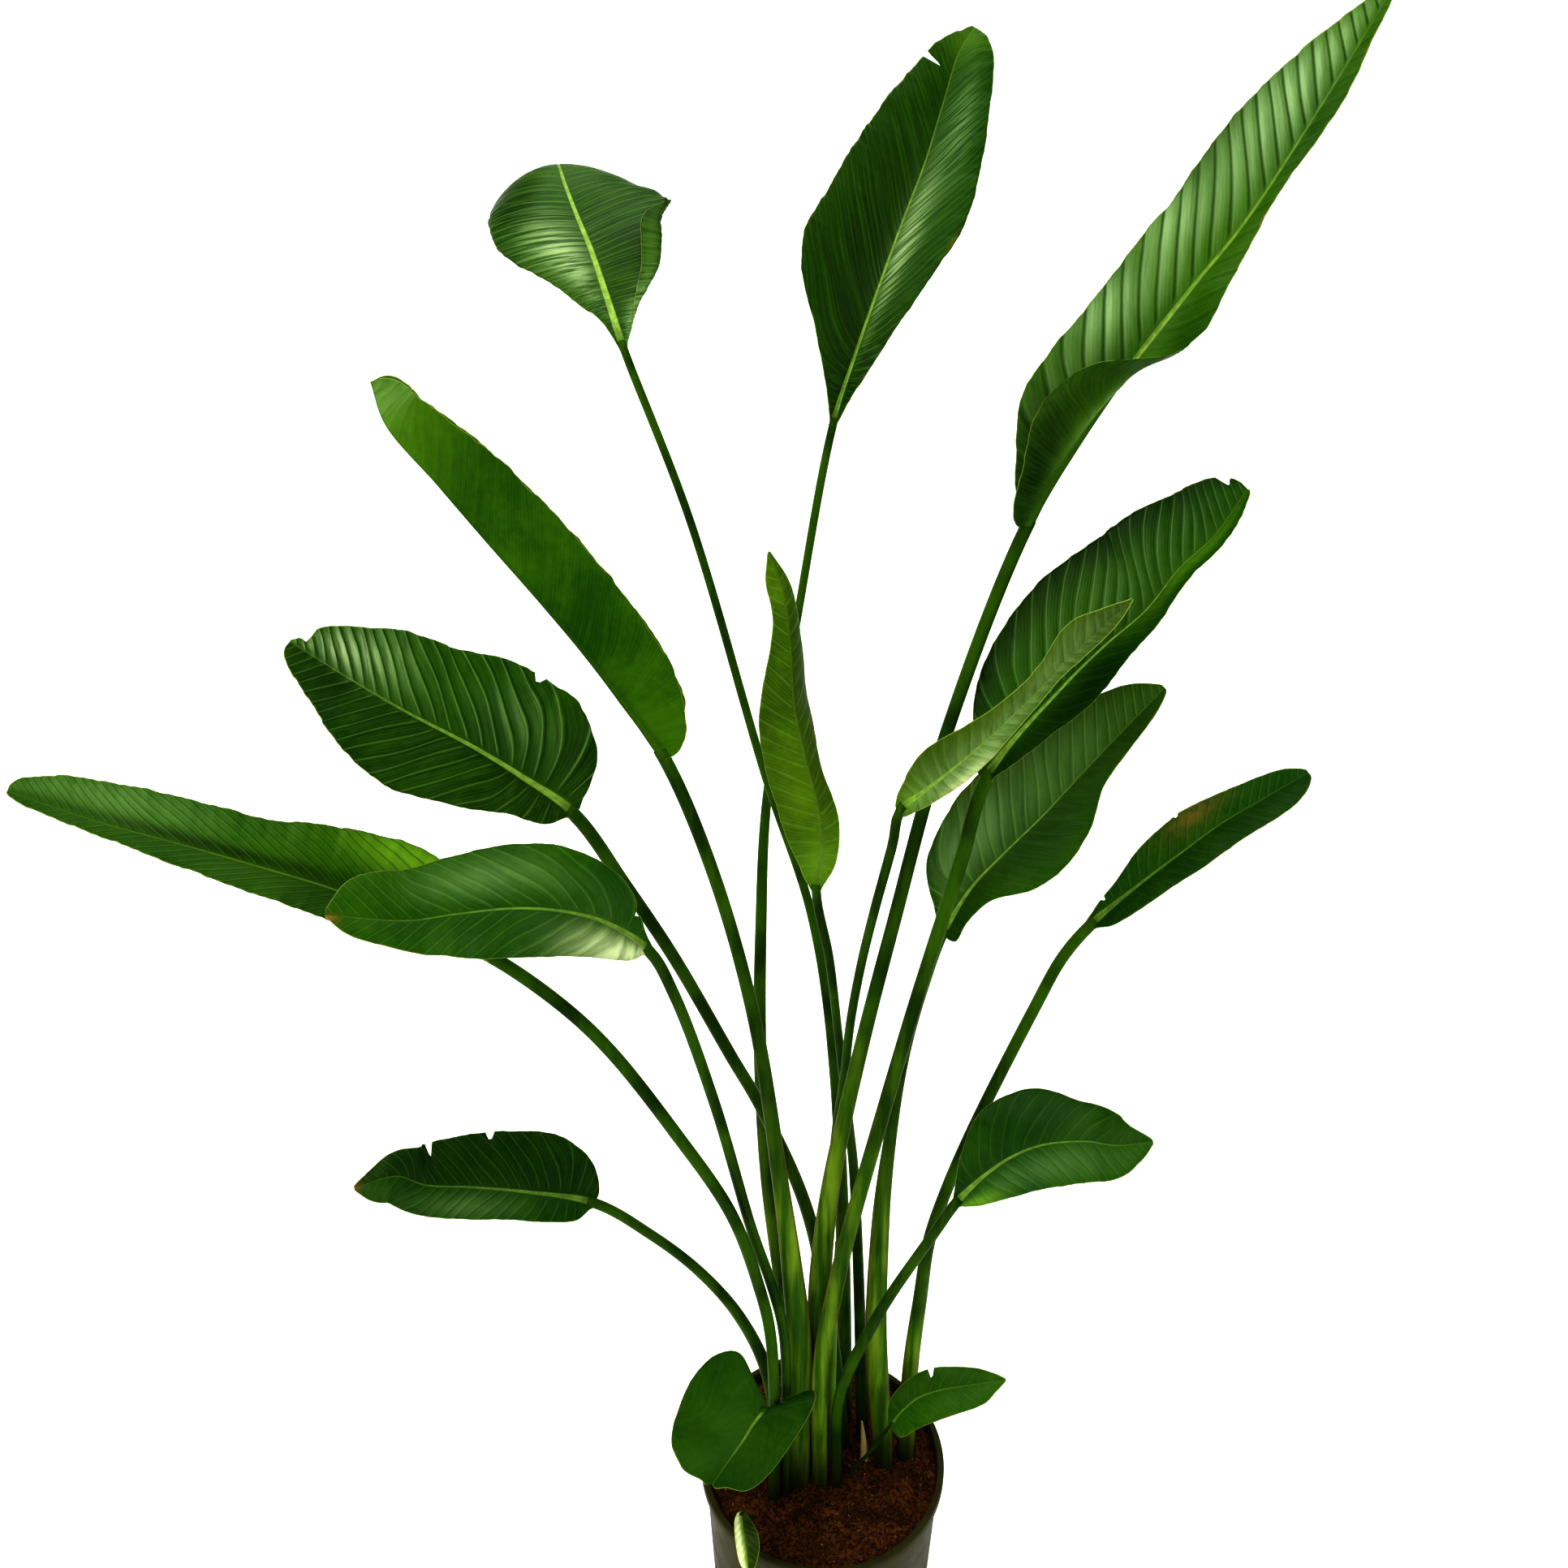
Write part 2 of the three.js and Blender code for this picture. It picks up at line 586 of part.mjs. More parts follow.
function potSolid() {
  const rimBottom = POT.height - POT.rimDrop;
  const skirtInside = POT.rimRadius - POT.rimSkin;
  const underRim = POT.height - POT.rimSkin;
  const profile = [
    [0, 0],
    [POT.footRadius - POT.footChamfer, 0],
    [POT.footRadius, POT.footChamfer],
    [outsideAt(underRim), underRim],
    [skirtInside, underRim],
    [skirtInside, rimBottom],
    [POT.rimRadius - 0.6, rimBottom],
    [POT.rimRadius, rimBottom + 1],
    [POT.rimRadius, POT.height - 2],
    [POT.rimRadius - 1.5, POT.height],
    [insideAt(POT.height) + 1.2, POT.height],
    [insideAt(POT.height), POT.height - 1.2],
    [insideAt(POT.floor), POT.floor],
    [0, POT.floor],
  ];
  let pot = toManifold(lathe(profile, POT.segments));
  for (let k = 0; k < POT.drainCount; k += 1) {
    const angle = (k / POT.drainCount) * 2 * Math.PI;
    const cutter = new THREE.CylinderGeometry(POT.drainRadius, POT.drainRadius, 4 * POT.floor, 12);
    cutter.rotateX(Math.PI / 2);
    cutter.translate(POT.drainCircle * Math.cos(angle), POT.drainCircle * Math.sin(angle), 0);
    pot = pot.subtract(toManifold(cutter));
  }
  return fromManifold(pot);
}

function soilSolid() {
  const bottom = POT.floor + GAP;
  const edge = insideAt(SOIL.top) - GAP - 0.4;
  const profile = [
    [0, bottom],
    [insideAt(bottom) - GAP - 0.4, bottom],
    [edge, SOIL.top],
    [edge * 0.6, SOIL.top + SOIL.crown * 0.7],
    [0, SOIL.top + SOIL.crown],
  ];
  let soil = toManifold(lathe(profile, SOIL.segments));
  [...LEAVES, ...SHOOTS].forEach((leaf) => {
    soil = soil.subtract(toManifold(stalkSolid(leaf, GAP)));
  });
  return fromManifold(soil);
}

// ---- Assembly -----------------------------------------------------------------------------------

const FINISHES = {
  pot: new THREE.MeshStandardMaterial({ color: COLOURS.pot, roughness: 0.55, metalness: 0 }),
  soil: new THREE.MeshStandardMaterial({ color: COLOURS.soil, roughness: 0.98, metalness: 0 }),
  stalk: new THREE.MeshStandardMaterial({ color: COLOURS.stalk, roughness: 0.4, metalness: 0 }),
  glossy: new THREE.MeshStandardMaterial({ color: COLOURS.glossy, roughness: 0.3, metalness: 0 }),
  matt: new THREE.MeshStandardMaterial({ color: COLOURS.matt, roughness: 0.55, metalness: 0 }),
  young: new THREE.MeshStandardMaterial({ color: COLOURS.young, roughness: 0.4, metalness: 0 }),
  dried: new THREE.MeshStandardMaterial({ color: COLOURS.dried, roughness: 0.85, metalness: 0 }),
};

const plant = new THREE.Group();

function add(parent, name, geometry, finish) {
  const mesh = new THREE.Mesh(geometry, FINISHES[finish]);
  mesh.name = name;
  parent.add(mesh);
}

add(plant, 'pot', potSolid(), 'pot');
add(plant, 'soil', soilSolid(), 'soil');
LEAVES.forEach((leaf) => {
  const whole = new THREE.Group();
  add(whole, `stalk_${leaf.name}`, stalkSolid(leaf), 'stalk');
  add(whole, `blade_${leaf.name}`, bladeSolid(leaf), leaf.finish);
  plant.add(whole);
});
SHOOTS.forEach((shoot) => add(plant, shoot.name, stalkSolid(shoot), shoot.finish));

export default plant;
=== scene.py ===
"""Visual model of a giant bird of paradise with seventeen leaves in a plastic nursery pot.

Metres, +Z up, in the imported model's own frame. The leaf table is in millimetres, as in the part's source.
"""

import bpy
import numpy as np
from bpy.props import FloatProperty, FloatVectorProperty, IntProperty, PointerProperty
from mathutils import Euler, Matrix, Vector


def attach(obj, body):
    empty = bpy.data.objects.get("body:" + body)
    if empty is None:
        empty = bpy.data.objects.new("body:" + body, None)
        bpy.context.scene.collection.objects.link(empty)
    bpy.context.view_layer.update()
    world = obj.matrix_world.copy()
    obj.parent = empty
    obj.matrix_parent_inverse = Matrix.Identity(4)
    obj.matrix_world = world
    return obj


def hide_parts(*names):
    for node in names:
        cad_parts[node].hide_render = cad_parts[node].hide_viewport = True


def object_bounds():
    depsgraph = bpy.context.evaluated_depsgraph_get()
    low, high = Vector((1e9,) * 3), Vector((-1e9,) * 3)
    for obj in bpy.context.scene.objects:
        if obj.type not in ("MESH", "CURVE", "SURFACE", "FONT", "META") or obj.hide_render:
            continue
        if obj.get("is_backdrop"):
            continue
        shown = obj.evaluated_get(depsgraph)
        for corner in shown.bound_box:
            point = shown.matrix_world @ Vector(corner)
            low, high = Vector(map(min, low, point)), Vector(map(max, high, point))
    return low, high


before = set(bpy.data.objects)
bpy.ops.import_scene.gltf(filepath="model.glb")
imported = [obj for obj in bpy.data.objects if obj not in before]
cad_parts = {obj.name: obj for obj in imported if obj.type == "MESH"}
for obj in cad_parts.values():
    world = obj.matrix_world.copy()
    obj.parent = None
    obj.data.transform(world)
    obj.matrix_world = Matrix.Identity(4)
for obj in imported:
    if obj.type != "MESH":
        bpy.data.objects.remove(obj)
CAD_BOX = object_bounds()

bl_info = {
    "name": "Potted bird of paradise",
    "version": (1, 0, 0),
    "blender": (4, 5, 0),
    "location": "View3D > Sidebar > Plant",
    "description": "Leaves, stalks, pot and potting mix of a giant bird of paradise",
    "category": "Object",
}

MM = 0.001
BODY = "root"

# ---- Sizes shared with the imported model, in millimetres ------------------------------------------

POT_HEIGHT = 235
POT_FOOT_RADIUS = 114
POT_TOP_RADIUS = 122
POT_WALL = 2
POT_FLOOR = 3
RIM_RADIUS = 126.5
RIM_DROP = 11
RIM_SKIN = 2.2
DRAIN_COUNT = 5
DRAIN_SIDES = 24
DRAIN_RADIUS = 6
DRAIN_CIRCLE = 62
SOIL_TOP = 221
SOIL_CROWN = 2
FOOT_DEPTH = 26

# How far the soil's crumbs rise and fall.
CRUMB = 2.2

# ---- The leaves ----------------------------------------------------------------------------------
#
# foot      where the stalk meets the soil, (x, y)
# stalk     points of the spine between the foot and the blade
# midrib    points of the spine along the blade, from its base to its tip
# wide/deep the stalk's width along X and its depth, at even steps from foot to blade
# face      direction that the upper side looks in, at even steps from base to tip
# left/right  half-widths at nine stations, crowded towards both ends; left and right are as seen
#           from the upper side with the tip pointing up
# fold      degrees that each half rises from flat at the midrib, (left, right), from base to tip
# curl      degrees that each half bends on from there to its margin, (left, right)
# sweep     how far each margin lies towards the tip, per unit of half-width
# rolls     rolled margins: (side, place along the blade, reach, share of the half-width where the
#           roll starts, degrees it turns)
# ribs      distance between the side veins
# lean      how far the veins run on towards the tip, per unit of distance from the midrib
# plain     how strongly the painted shade and highlight lines of the left and of the right half show
# streaks   how strongly the fine painted highlights and dark streaks along the veins show
# bands     how far the painted sheen fades from one side of each pleat to the other
# relief    height of the pleats between them
# veins     strength of the painted shade line in each furrow and of the painted highlight line beside it
# keel      half-width of the midrib once it has left the stalk, and how pale it is
# tears     (side, place along the blade, depth as a share of the half-width, width in mm)
# ripple    height of the waves along the margins
# tone      0 for the darkest leaves to 1 for the palest
# halves    how light the left and the right half are painted, as painted light and shade
# marks     by kind: (place along, reach along, place across from -1 to 1, reach across, strength);
#           the kinds are a painted sheen on the pleats, dark for painted shade, pale for whitish patches
#           (painted sheen on most leaves, the real cream strip on the rim sprout), lime for yellow-green
#           and dry for dry spots
# finish    which leaf material it has
#
# What a leaf doesn't say stands in USUAL.


def both(*values):
    """The same values for the left and for the right half."""
    return [list(values)] * 2


USUAL = dict(
    sweep=both(-0.3, 0.25, 0.35), rolls=[], lean=0.55, plain=(1, 1), halves=(1, 1), streaks=0.3,
    bands=0.3, tears=[], marks={}, finish="glossy",
)


def leaf_of(**own):
    """A leaf with its own numbers, and the usual ones for the rest."""
    return {**USUAL, **own}


LEAVES = [
    leaf_of(
        name="top_left", foot=(26, 54),
        stalk=[(9, 75, 663), (-14, 115, 819), (-56, 150, 944), (-122, 200, 1170)],
        midrib=[(-175, 230, 1307), (-191, 262, 1345), (-207, 296, 1381), (-221, 325, 1406),
                (-235, 356, 1432), (-246, 395, 1449), (-252, 440, 1440), (-255, 480, 1405),
                (-256, 505, 1360)],
        wide=[16, 14, 9, 7.5, 7], deep=[12, 10, 8, 7, 7],
        face=[(0.05, -0.8, 0.55), (0.05, -0.6, 0.8), (0, -0.2, 1), (0, 0.3, 1)],
        left=[4, 13, 40, 76, 80, 78, 64, 44, 24], right=[6, 26, 76, 90, 82, 82, 70, 48, 26],
        fold=both(15, 8, 0, 0), curl=[[-15, -40, -80, -80], [-10, -25, -65, -60]],
        rolls=[(1, 0.21, 0.14, 0.68, 170)], lean=0.15, streaks=1,
        ribs=6, relief=0.35, veins=(0.3, 0.5), keel=(3.8, 1.0), ripple=1.2, tone=0.5,
        halves=(0.85, 0.72), tears=[(-1, 0.47, 0.1, 2)],
        marks=dict(
            painted_sheen=[(0.27, 0.13, -0.45, 0.35, 0.85), (0.6, 0.08, 0.5, 0.5, 0.4),
                   (0.09, 0.09, 0.8, 0.3, 0.9)],
            pale=[(0.26, 0.1, -0.4, 0.25, 0.25)],
            dark=[(0.5, 0.14, -0.7, 0.45, 1), (0.22, 0.2, 1, 0.1, 0.45), (0.1, 0.1, -0.4, 0.4, 0.5),
                  (0.25, 0.12, 0.3, 0.3, 0.5)],
            lime=[(0.22, 0.12, 0.9, 0.1, 0.15)],
        ),
    ),
    leaf_of(
        name="top_centre", foot=(-24, 36),
        stalk=[(-41, 60, 392), (-57, 80, 538), (-63, 100, 672), (-62, 130, 792), (-56, 168, 914),
               (-28, 190, 1085)],
        midrib=[(1, 200, 1249), (19, 215, 1303), (35, 228, 1347), (56, 244, 1402), (75, 258, 1449),
                (88, 270, 1489), (101, 282, 1529), (113, 288, 1547)],
        wide=[16, 14, 12, 8, 7], deep=[12, 11, 9, 7, 7],
        face=[(-0.15, -0.95, 0.25), (-0.1, -0.9, 0.4)],
        left=[4, 16, 39, 72, 65, 54, 38, 21, 7], right=[5, 13, 24, 38, 52, 46, 38, 30, 16],
        fold=[[35, 25, 15], [45, 25, 15]], curl=both(-10, -20, -20),
        ribs=6, relief=0.5, veins=(0.5, 0.35), keel=(2.2, 0.9), ripple=2.2, tone=0.3, lean=1.0, streaks=1,
        halves=(0.6, 0.85), plain=(0.3, 1), tears=[(-1, 0.88, 0.7, 2)],
        marks=dict(
            painted_sheen=[(0.47, 0.2, 0.22, 0.2, 0.75), (0.75, 0.13, 0.5, 0.25, 0.55)],
            dark=[(0.15, 0.17, 0.8, 0.6, 1), (0.4, 0.35, -0.4, 0.5, 0.7)],
            lime=[(0.97, 0.06, 0, 1, 0.25)],
            dry=[(0.47, 0.025, 1, 0.06, 0.5)],
            pale=[(0.45, 0.16, 0.2, 0.16, 0.2)],
        ),
    ),
    leaf_of(
        name="top_right", foot=(-8, -6),
        stalk=[(-7, -9, 403), (-5, -8, 509), (4, -6, 617), (27, -2, 760), (50, 2, 880),
               (83, 10, 1038)],
        midrib=[(136, 20, 1207), (170, 26, 1270), (207, 32, 1326), (240, 37, 1370), (270, 41, 1409),
                (315, 49, 1485), (349, 54, 1549)],
        wide=[20, 22, 14, 11, 10], deep=[11, 11, 10, 10, 9],
        face=[(-0.6, -0.8, 0.35), (-0.64, -0.77, 0.38), (-0.5, -0.8, 0.3)],
        left=[8, 28, 52, 50, 51, 50, 37, 20, 7], right=[17, 29, 50, 57, 24, 10, 13, 8, 4],
        fold=[[40, 25, 20], [85, 75, 62, 27, -5, 20, 25, 20, 20, 20, 20]],
        curl=[[-10, -20, -10], [60, 90, 112, 175, 80, -15, -20, -20, -20, -10, -10]],
        sweep=[[-0.3, 0.25, 0.35],
               [-0.3, -0.2, -0.3, -0.4, -0.25, 0.15, 0.3, 0.35, 0.35, 0.35, 0.35]],
        ribs=14, relief=1.1, veins=(0.85, 0.15), keel=(3.6, 0.9), ripple=1.0, tone=0.7, lean=0.8,
        halves=(1.1, 0.95), plain=(1, 0.4), bands=0.5,
        marks=dict(
            painted_sheen=[(0.42, 0.22, -0.55, 0.4, 0.5), (0.8, 0.18, -0.55, 0.45, 1),
                   (0.36, 0.05, -0.8, 0.3, 0.6), (0.52, 0.05, -0.85, 0.3, 0.6)],
            dark=[(0.1, 0.13, -0.5, 0.7, 0.9), (0.62, 0.1, -1, 0.35, 0.5), (0.15, 0.2, 0.75, 0.35, 0.9)],
            lime=[(0.2, 0.15, 0.2, 0.2, 0.3)],
        ),
    ),
    leaf_of(
        name="left_folded", foot=(-25, -24),
        stalk=[(-25, -20, 418), (-33, -21, 524), (-44, -24, 634), (-64, -28, 804), (-94, -36, 948)],
        midrib=[(-128, -46, 1054), (-155, -50, 1101), (-179, -54, 1139), (-205, -58, 1176),
                (-237, -62, 1219), (-265, -66, 1258), (-292, -70, 1296), (-296, -76, 1323)],
        wide=[22, 24, 15, 11, 10], deep=[11, 11, 10, 9, 9],
        face=[(0.8, 0.1, 0.5), (0.8, 0.1, 0.5)],
        left=[16, 34, 46, 49, 49, 46, 38, 30, 20], right=[8, 34, 44, 46, 46, 42, 35, 27, 17],
        fold=both(70, 78, 70), curl=both(10, 5, 0),
        ribs=11, relief=0.25, veins=(0.12, 0.15), keel=(2.2, 0.15), ripple=0.8, tone=0.4,
        halves=(1.35, 1.35), finish="matt",
        marks=dict(
            painted_sheen=[(0.96, 0.05, 0, 2, 0.45)],
            lime=[(0.9, 0.16, 0, 2, 0.2)],
        ),
    ),
    leaf_of(
        name="left_high", foot=(22, 20),
        stalk=[(-14, 18, 536), (-59, 12, 678), (-87, 6, 745), (-132, 0, 850), (-168, -6, 923)],
        midrib=[(-204, -10, 989), (-241, -14, 1023), (-273, -20, 1050), (-320, -30, 1085),
                (-349, -38, 1110), (-384, -54, 1146)],
        wide=[16, 14, 12, 11, 11], deep=[11, 11, 11, 10, 10],
        face=[(0.34, -0.66, 0.67), (0.3, -0.7, 0.6)],
        left=[6, 26, 36, 52, 60, 50, 34, 22, 11], right=[13, 50, 73, 74, 62, 54, 38, 23, 6],
        fold=both(30, 20, 10), curl=both(-20, -25, -20),
        ribs=10, relief=1.1, veins=(0.75, 0.7), keel=(3.2, 0.85), ripple=1.6, tone=0.4, streaks=0.6,
        halves=(0.6, 0.9), plain=(0.6, 1), bands=0.95,
        tears=[(1, 0.3, 0.12, 3), (1, 0.95, 0.5, 6)],
        marks=dict(
            painted_sheen=[(0.78, 0.18, 0.55, 0.4, 0.85), (0.3, 0.12, 0.5, 0.3, 0.45)],
            pale=[(0.83, 0.12, 0.5, 0.35, 0.35)],
            dark=[(0.1, 0.12, 0.6, 0.5, 0.5)],
        ),
    ),
    leaf_of(
        name="left_long", foot=(-50, -40),
        stalk=[(-52, -46, 454), (-63, -50, 529), (-87, -54, 621), (-133, -55, 713), (-183, -56, 799),
               (-219, -57, 844)],
        midrib=[(-269, -58, 889), (-318, -61, 919), (-381, -64, 953), (-431, -66, 973),
                (-481, -68, 992), (-540, -70, 1013), (-599, -72, 1039)],
        wide=[12, 11, 11, 11, 11], deep=[11, 11, 11, 10, 10],
        face=[(0.3, -0.5, 0.8), (0.3, -0.5, 0.8)],
        left=[6, 17, 26, 29, 25, 19, 12, 9, 5], right=[10, 34, 54, 49, 37, 35, 32, 24, 13],
        fold=both(30, 25, 15), curl=both(-20, -20, -10),
        ribs=9, relief=0.7, veins=(0.5, 0.3), keel=(1.6, 0.55), ripple=1.4, tone=0.5, lean=1.3,
        halves=(0.9, 1.1),
        marks=dict(
            lime=[(0.2, 0.13, 0.8, 0.35, 0.9)],
            painted_sheen=[(0.8, 0.2, 0.6, 0.4, 0.3)],
            dark=[(0.6, 0.35, 0.16, 0.14, 1)],
        ),
    ),
    leaf_of(
        name="left_front", foot=(-39, -33),
        stalk=[(-40, -33, 445), (-51, -34, 510), (-69, -37, 584), (-98, -58, 746), (-125, -80, 869)],
        midrib=[(-141, -88, 913), (-170, -98, 944), (-196, -104, 957), (-230, -110, 964),
                (-273, -116, 963), (-308, -122, 961), (-361, -132, 972)],
        wide=[10, 10, 10, 9.5, 9], deep=[10, 10, 9, 9, 9],
        face=[(0.2, -0.65, 0.7), (0.2, -0.65, 0.7)],
        left=[5, 20, 30, 37, 37, 29, 20, 14, 5], right=[4, 14, 37, 48, 46, 40, 36, 28, 10],
        fold=both(30, 20, 20), curl=both(-20, -30, -20),
        ribs=12, relief=0.35, veins=(0.1, 0.25), lean=0.9, keel=(1.7, 0.7), ripple=0.8, tone=0.4,
        halves=(0.95, 1), tears=[(1, 0.12, 0.3, 3)],
        marks=dict(
            pale=[(0.1, 0.17, -0.75, 0.5, 0.75)],
            dry=[(0.99, 0.03, -0.5, 0.5, 0.9)],
            painted_sheen=[(0.5, 0.2, 0.5, 0.3, 0.35)],
        ),
    ),
    leaf_of(
        name="left_low", foot=(-46, 8),
        stalk=[(-57, -4, 362), (-84, -14, 452), (-120, -26, 523), (-161, -38, 580)],
        midrib=[(-206, -50, 628), (-261, -58, 648), (-306, -66, 661), (-343, -74, 671),
                (-363, -80, 686), (-396, -90, 683)],
        wide=[16, 14, 12, 10, 9], deep=[11, 11, 10, 9, 9],
        face=[(0.1, -0.6, 0.8), (0.1, -0.6, 0.8)],
        left=[6, 20, 24, 25, 27, 25, 23, 17, 6], right=[15, 35, 50, 50, 44, 36, 23, 11, 4],
        fold=both(25, 15, 10), curl=both(-20, -25, -20),
        ribs=8, relief=0.5, veins=(0.35, 0.2), keel=(1.7, 0.55), ripple=0.8, tone=0.2,
        halves=(0.8, 0.5), tears=[(1, 0.66, 0.35, 4), (1, 0.43, 0.2, 3)],
        marks=dict(
            dry=[(1, 0.03, 0, 1, 0.7)],
            painted_sheen=[(0.5, 0.2, -0.6, 0.4, 0.3)],
        ),
    ),
    leaf_of(
        name="pot_heart", foot=(-68, -26),
        stalk=[(-67, -36, 300), (-62, -52, 356)],
        midrib=[(-57, -56, 375), (-68, -66, 369), (-79, -80, 361), (-92, -98, 357),
                (-106, -118, 352)],
        wide=[5, 4.5, 4], deep=[5, 4.5, 4],
        face=[(0.1, -0.75, 0.65), (0.1, -0.7, 0.7)],
        left=[14, 33, 39, 39, 35, 26, 14, 8, 4], right=[17, 51, 72, 68, 54, 34, 18, 10, 6],
        fold=both(15, 10, 5), curl=both(-5, -15, -10),
        sweep=[[-3.4, -1, -0.4, -0.05, 0.1, 0.3, 0.5, 0.6, 0.7, 0.7, 0.7],
               [-0.3, -0.5, -0.2, 0.15, 0.45, 0.75, 1, 1.2, 1.3, 1.2, 1]],
        ribs=8, relief=0.15, veins=(0.06, 0.05), keel=(1.5, 0.6), ripple=0.4, tone=0.35,
        streaks=0.05, halves=(0.85, 0.95),
        marks=dict(
            lime=[(0.5, 0.3, 0, 1, 0.06)],
        ),
    ),
    leaf_of(
        name="rim_sprout", foot=(-72, -62),
        stalk=[(-77, -78, 246)],
        midrib=[(-81, -90, 272), (-80, -106, 277), (-76, -124, 271), (-73, -138, 257)],
        wide=[4, 3], deep=[4, 3],
        face=[(0, -0.6, 0.8), (0, -0.8, 0.5)],
        left=[3, 5, 8, 12, 14, 13, 10, 7, 4], right=[3, 5, 7, 8, 9, 9, 8, 6, 3],
        fold=both(15), curl=both(-10), sweep=both(0.2),
        ribs=5, relief=0.1, veins=(0.1, 0.1), keel=(1.0, 0.6), ripple=0.2, tone=0.3,
        halves=(0.3, 1.3), finish="young",
        marks=dict(
            pale=[(0.5, 0.6, 0.75, 0.45, 1.7)],
            dry=[(0.5, 0.2, 1, 0.2, 0.5)],
            dark=[(0.5, 0.6, -0.5, 0.6, 0.7)],
        ),
    ),
    leaf_of(
        name="centre_young", foot=(44, 34),
        stalk=[(27, 36, 578), (20, 36, 647), (9, 32, 743), (-1, 28, 831)],
        midrib=[(-13, 24, 900), (-9, 22, 938), (-14, 20, 984), (-24, 19, 1027), (-32, 18, 1069),
                (-35, 18, 1115), (-40, 19, 1156), (-51, 20, 1190)],
        wide=[14, 12, 10, 8, 8], deep=[11, 10, 9, 8, 8],
        face=[(-0.3, -0.9, 0.2)],
        left=[6, 18, 29, 33, 31, 21, 12, 11, 4], right=[6, 13, 16, 14, 20, 18, 13, 9, 3],
        fold=[[15], [10, 0, -50, -60, -60, -50, -40]], curl=[[25, 20], [20, -10, -30, -30]],
        sweep=[[-0.3, 0.25, 0.35], [0.1, 0.2, 0.3]],
        ribs=12, relief=0.2, veins=(0.05, 0.4), keel=(1.4, 0.3), ripple=0.3, tone=0.6,
        halves=(0.65, 0.5), finish="young",
        marks=dict(
            dark=[(0.4, 0.3, -0.85, 0.3, 0.3), (0.5, 0.35, 0.7, 0.6, 0.5)],
            lime=[(0.08, 0.1, 0, 1.5, 0.35)],
        ),
    ),
    leaf_of(
        name="right_slim", foot=(-8, 42),
        stalk=[(8, 27, 638), (14, 21, 707), (18, 16, 772), (25, 8, 836), (34, -4, 899),
               (45, -18, 967)],
        midrib=[(49, -26, 1000), (66, -31, 1019), (89, -36, 1043), (113, -42, 1071),
                (139, -49, 1105), (157, -55, 1132), (177, -62, 1158), (195, -68, 1181)],
        wide=[14, 11, 9, 8, 8], deep=[10, 9, 8, 8, 8],
        face=[(-0.3, -0.8, 0.5)],
        left=[6, 16, 25, 19, 13, 12, 18, 10, 3], right=[8, 12, 16, 16, 11, 8, 9, 8, 3],
        fold=both(25, 30, 30), curl=both(0, -10, -10),
        sweep=[[-0.4, 0.1, 0.3, 0.35, 0.35], [-0.3, 0.25, 0.35]],
        ribs=9, relief=0.25, veins=(0.1, 0.15), keel=(0.9, 0.9), ripple=0.8, tone=0.7,
        halves=(0.85, 0.9), finish="matt",
        marks=dict(
            painted_sheen=[(0.3, 0.22, 0.3, 0.7, 0.6), (0.1, 0.1, 0, 1, 0.25), (0.7, 0.3, 0, 1, 0.45)],
            pale=[(0.27, 0.1, 0.9, 0.35, 0.5)],
            lime=[(0.05, 0.07, 0, 1, 0.25)],
            dark=[(0.95, 0.25, 0, 1, 0.55)],
        ),
    ),
    leaf_of(
        name="right_high", foot=(-3, -23),
        stalk=[(-4, -29, 402), (6, -28, 488), (17, -26, 558), (41, -22, 678), (71, -16, 820),
               (101, -10, 948)],
        midrib=[(117, -6, 1018), (172, 2, 1092), (200, 6, 1122), (228, 8, 1149), (249, 10, 1180),
                (271, 12, 1203), (291, 14, 1237)],
        wide=[17, 17, 14, 12, 11], deep=[11, 11, 11, 11, 11],
        face=[(-0.43, -0.69, 0.57)],
        left=[11, 28, 53, 67, 69, 60, 46, 35, 18], right=[6, 18, 30, 42, 32, 22, 20, 15, 8],
        fold=[[30, 25, 15], [30, 35, 40, 40]], curl=[[-15, -20, -10], [0, 0, 0]],
        ribs=10, relief=0.6, veins=(0.35, 0.4), keel=(2.4, 0.9), ripple=0.8, tone=0.28,
        plain=(1, 0.2), tears=[(-1, 0.97, 0.4, 4)],
        bands=0.9,
        marks=dict(
            dark=[(0.6, 0.6, -1, 0.3, 1), (0.35, 0.25, 0.6, 0.5, 0.8)],
            painted_sheen=[(0.5, 0.4, -0.35, 0.35, 0.2)],
            lime=[(0.8, 0.2, 0.3, 0.35, 0.3)],
        ),
    ),
    leaf_of(
        name="right_middle", foot=(64, -2),
        stalk=[(51, 0, 403), (50, 2, 509), (53, 4, 608), (66, 8, 743), (81, 12, 817)],
        midrib=[(94, 16, 862), (115, 18, 906), (143, 20, 941), (170, 22, 972), (204, 24, 1016),
                (256, 28, 1080)],
        wide=[20, 22, 18, 10, 8], deep=[12, 12, 11, 9, 8],
        face=[(-0.2, -0.9, 0.4)],
        left=[6, 20, 48, 62, 62, 54, 38, 24, 9], right=[13, 14, 21, 42, 38, 20, 14, 10, 5],
        fold=both(30, 25, 15), curl=both(-15, -20, -10),
        ribs=11, relief=0.5, veins=(0.25, 0.55), keel=(1.3, 0.95), ripple=0.8, tone=0.5,
        halves=(1, 0.9), plain=(1, 0.1),
        marks=dict(
            painted_sheen=[(0.6, 0.3, -0.4, 0.5, 0.3), (0.27, 0.14, -0.55, 0.35, 0.6)],
            dry=[(0.6, 0.2, -1, 0.22, 0.35)],
            dark=[(0.6, 0.2, -1, 0.3, 0.5)],
        ),
    ),
    leaf_of(
        name="right_far", foot=(88, 8),
        stalk=[(88, 8, 359), (93, 8, 449), (98, 8, 524), (110, 8, 584), (132, 10, 660),
               (178, 16, 789), (198, 20, 837)],
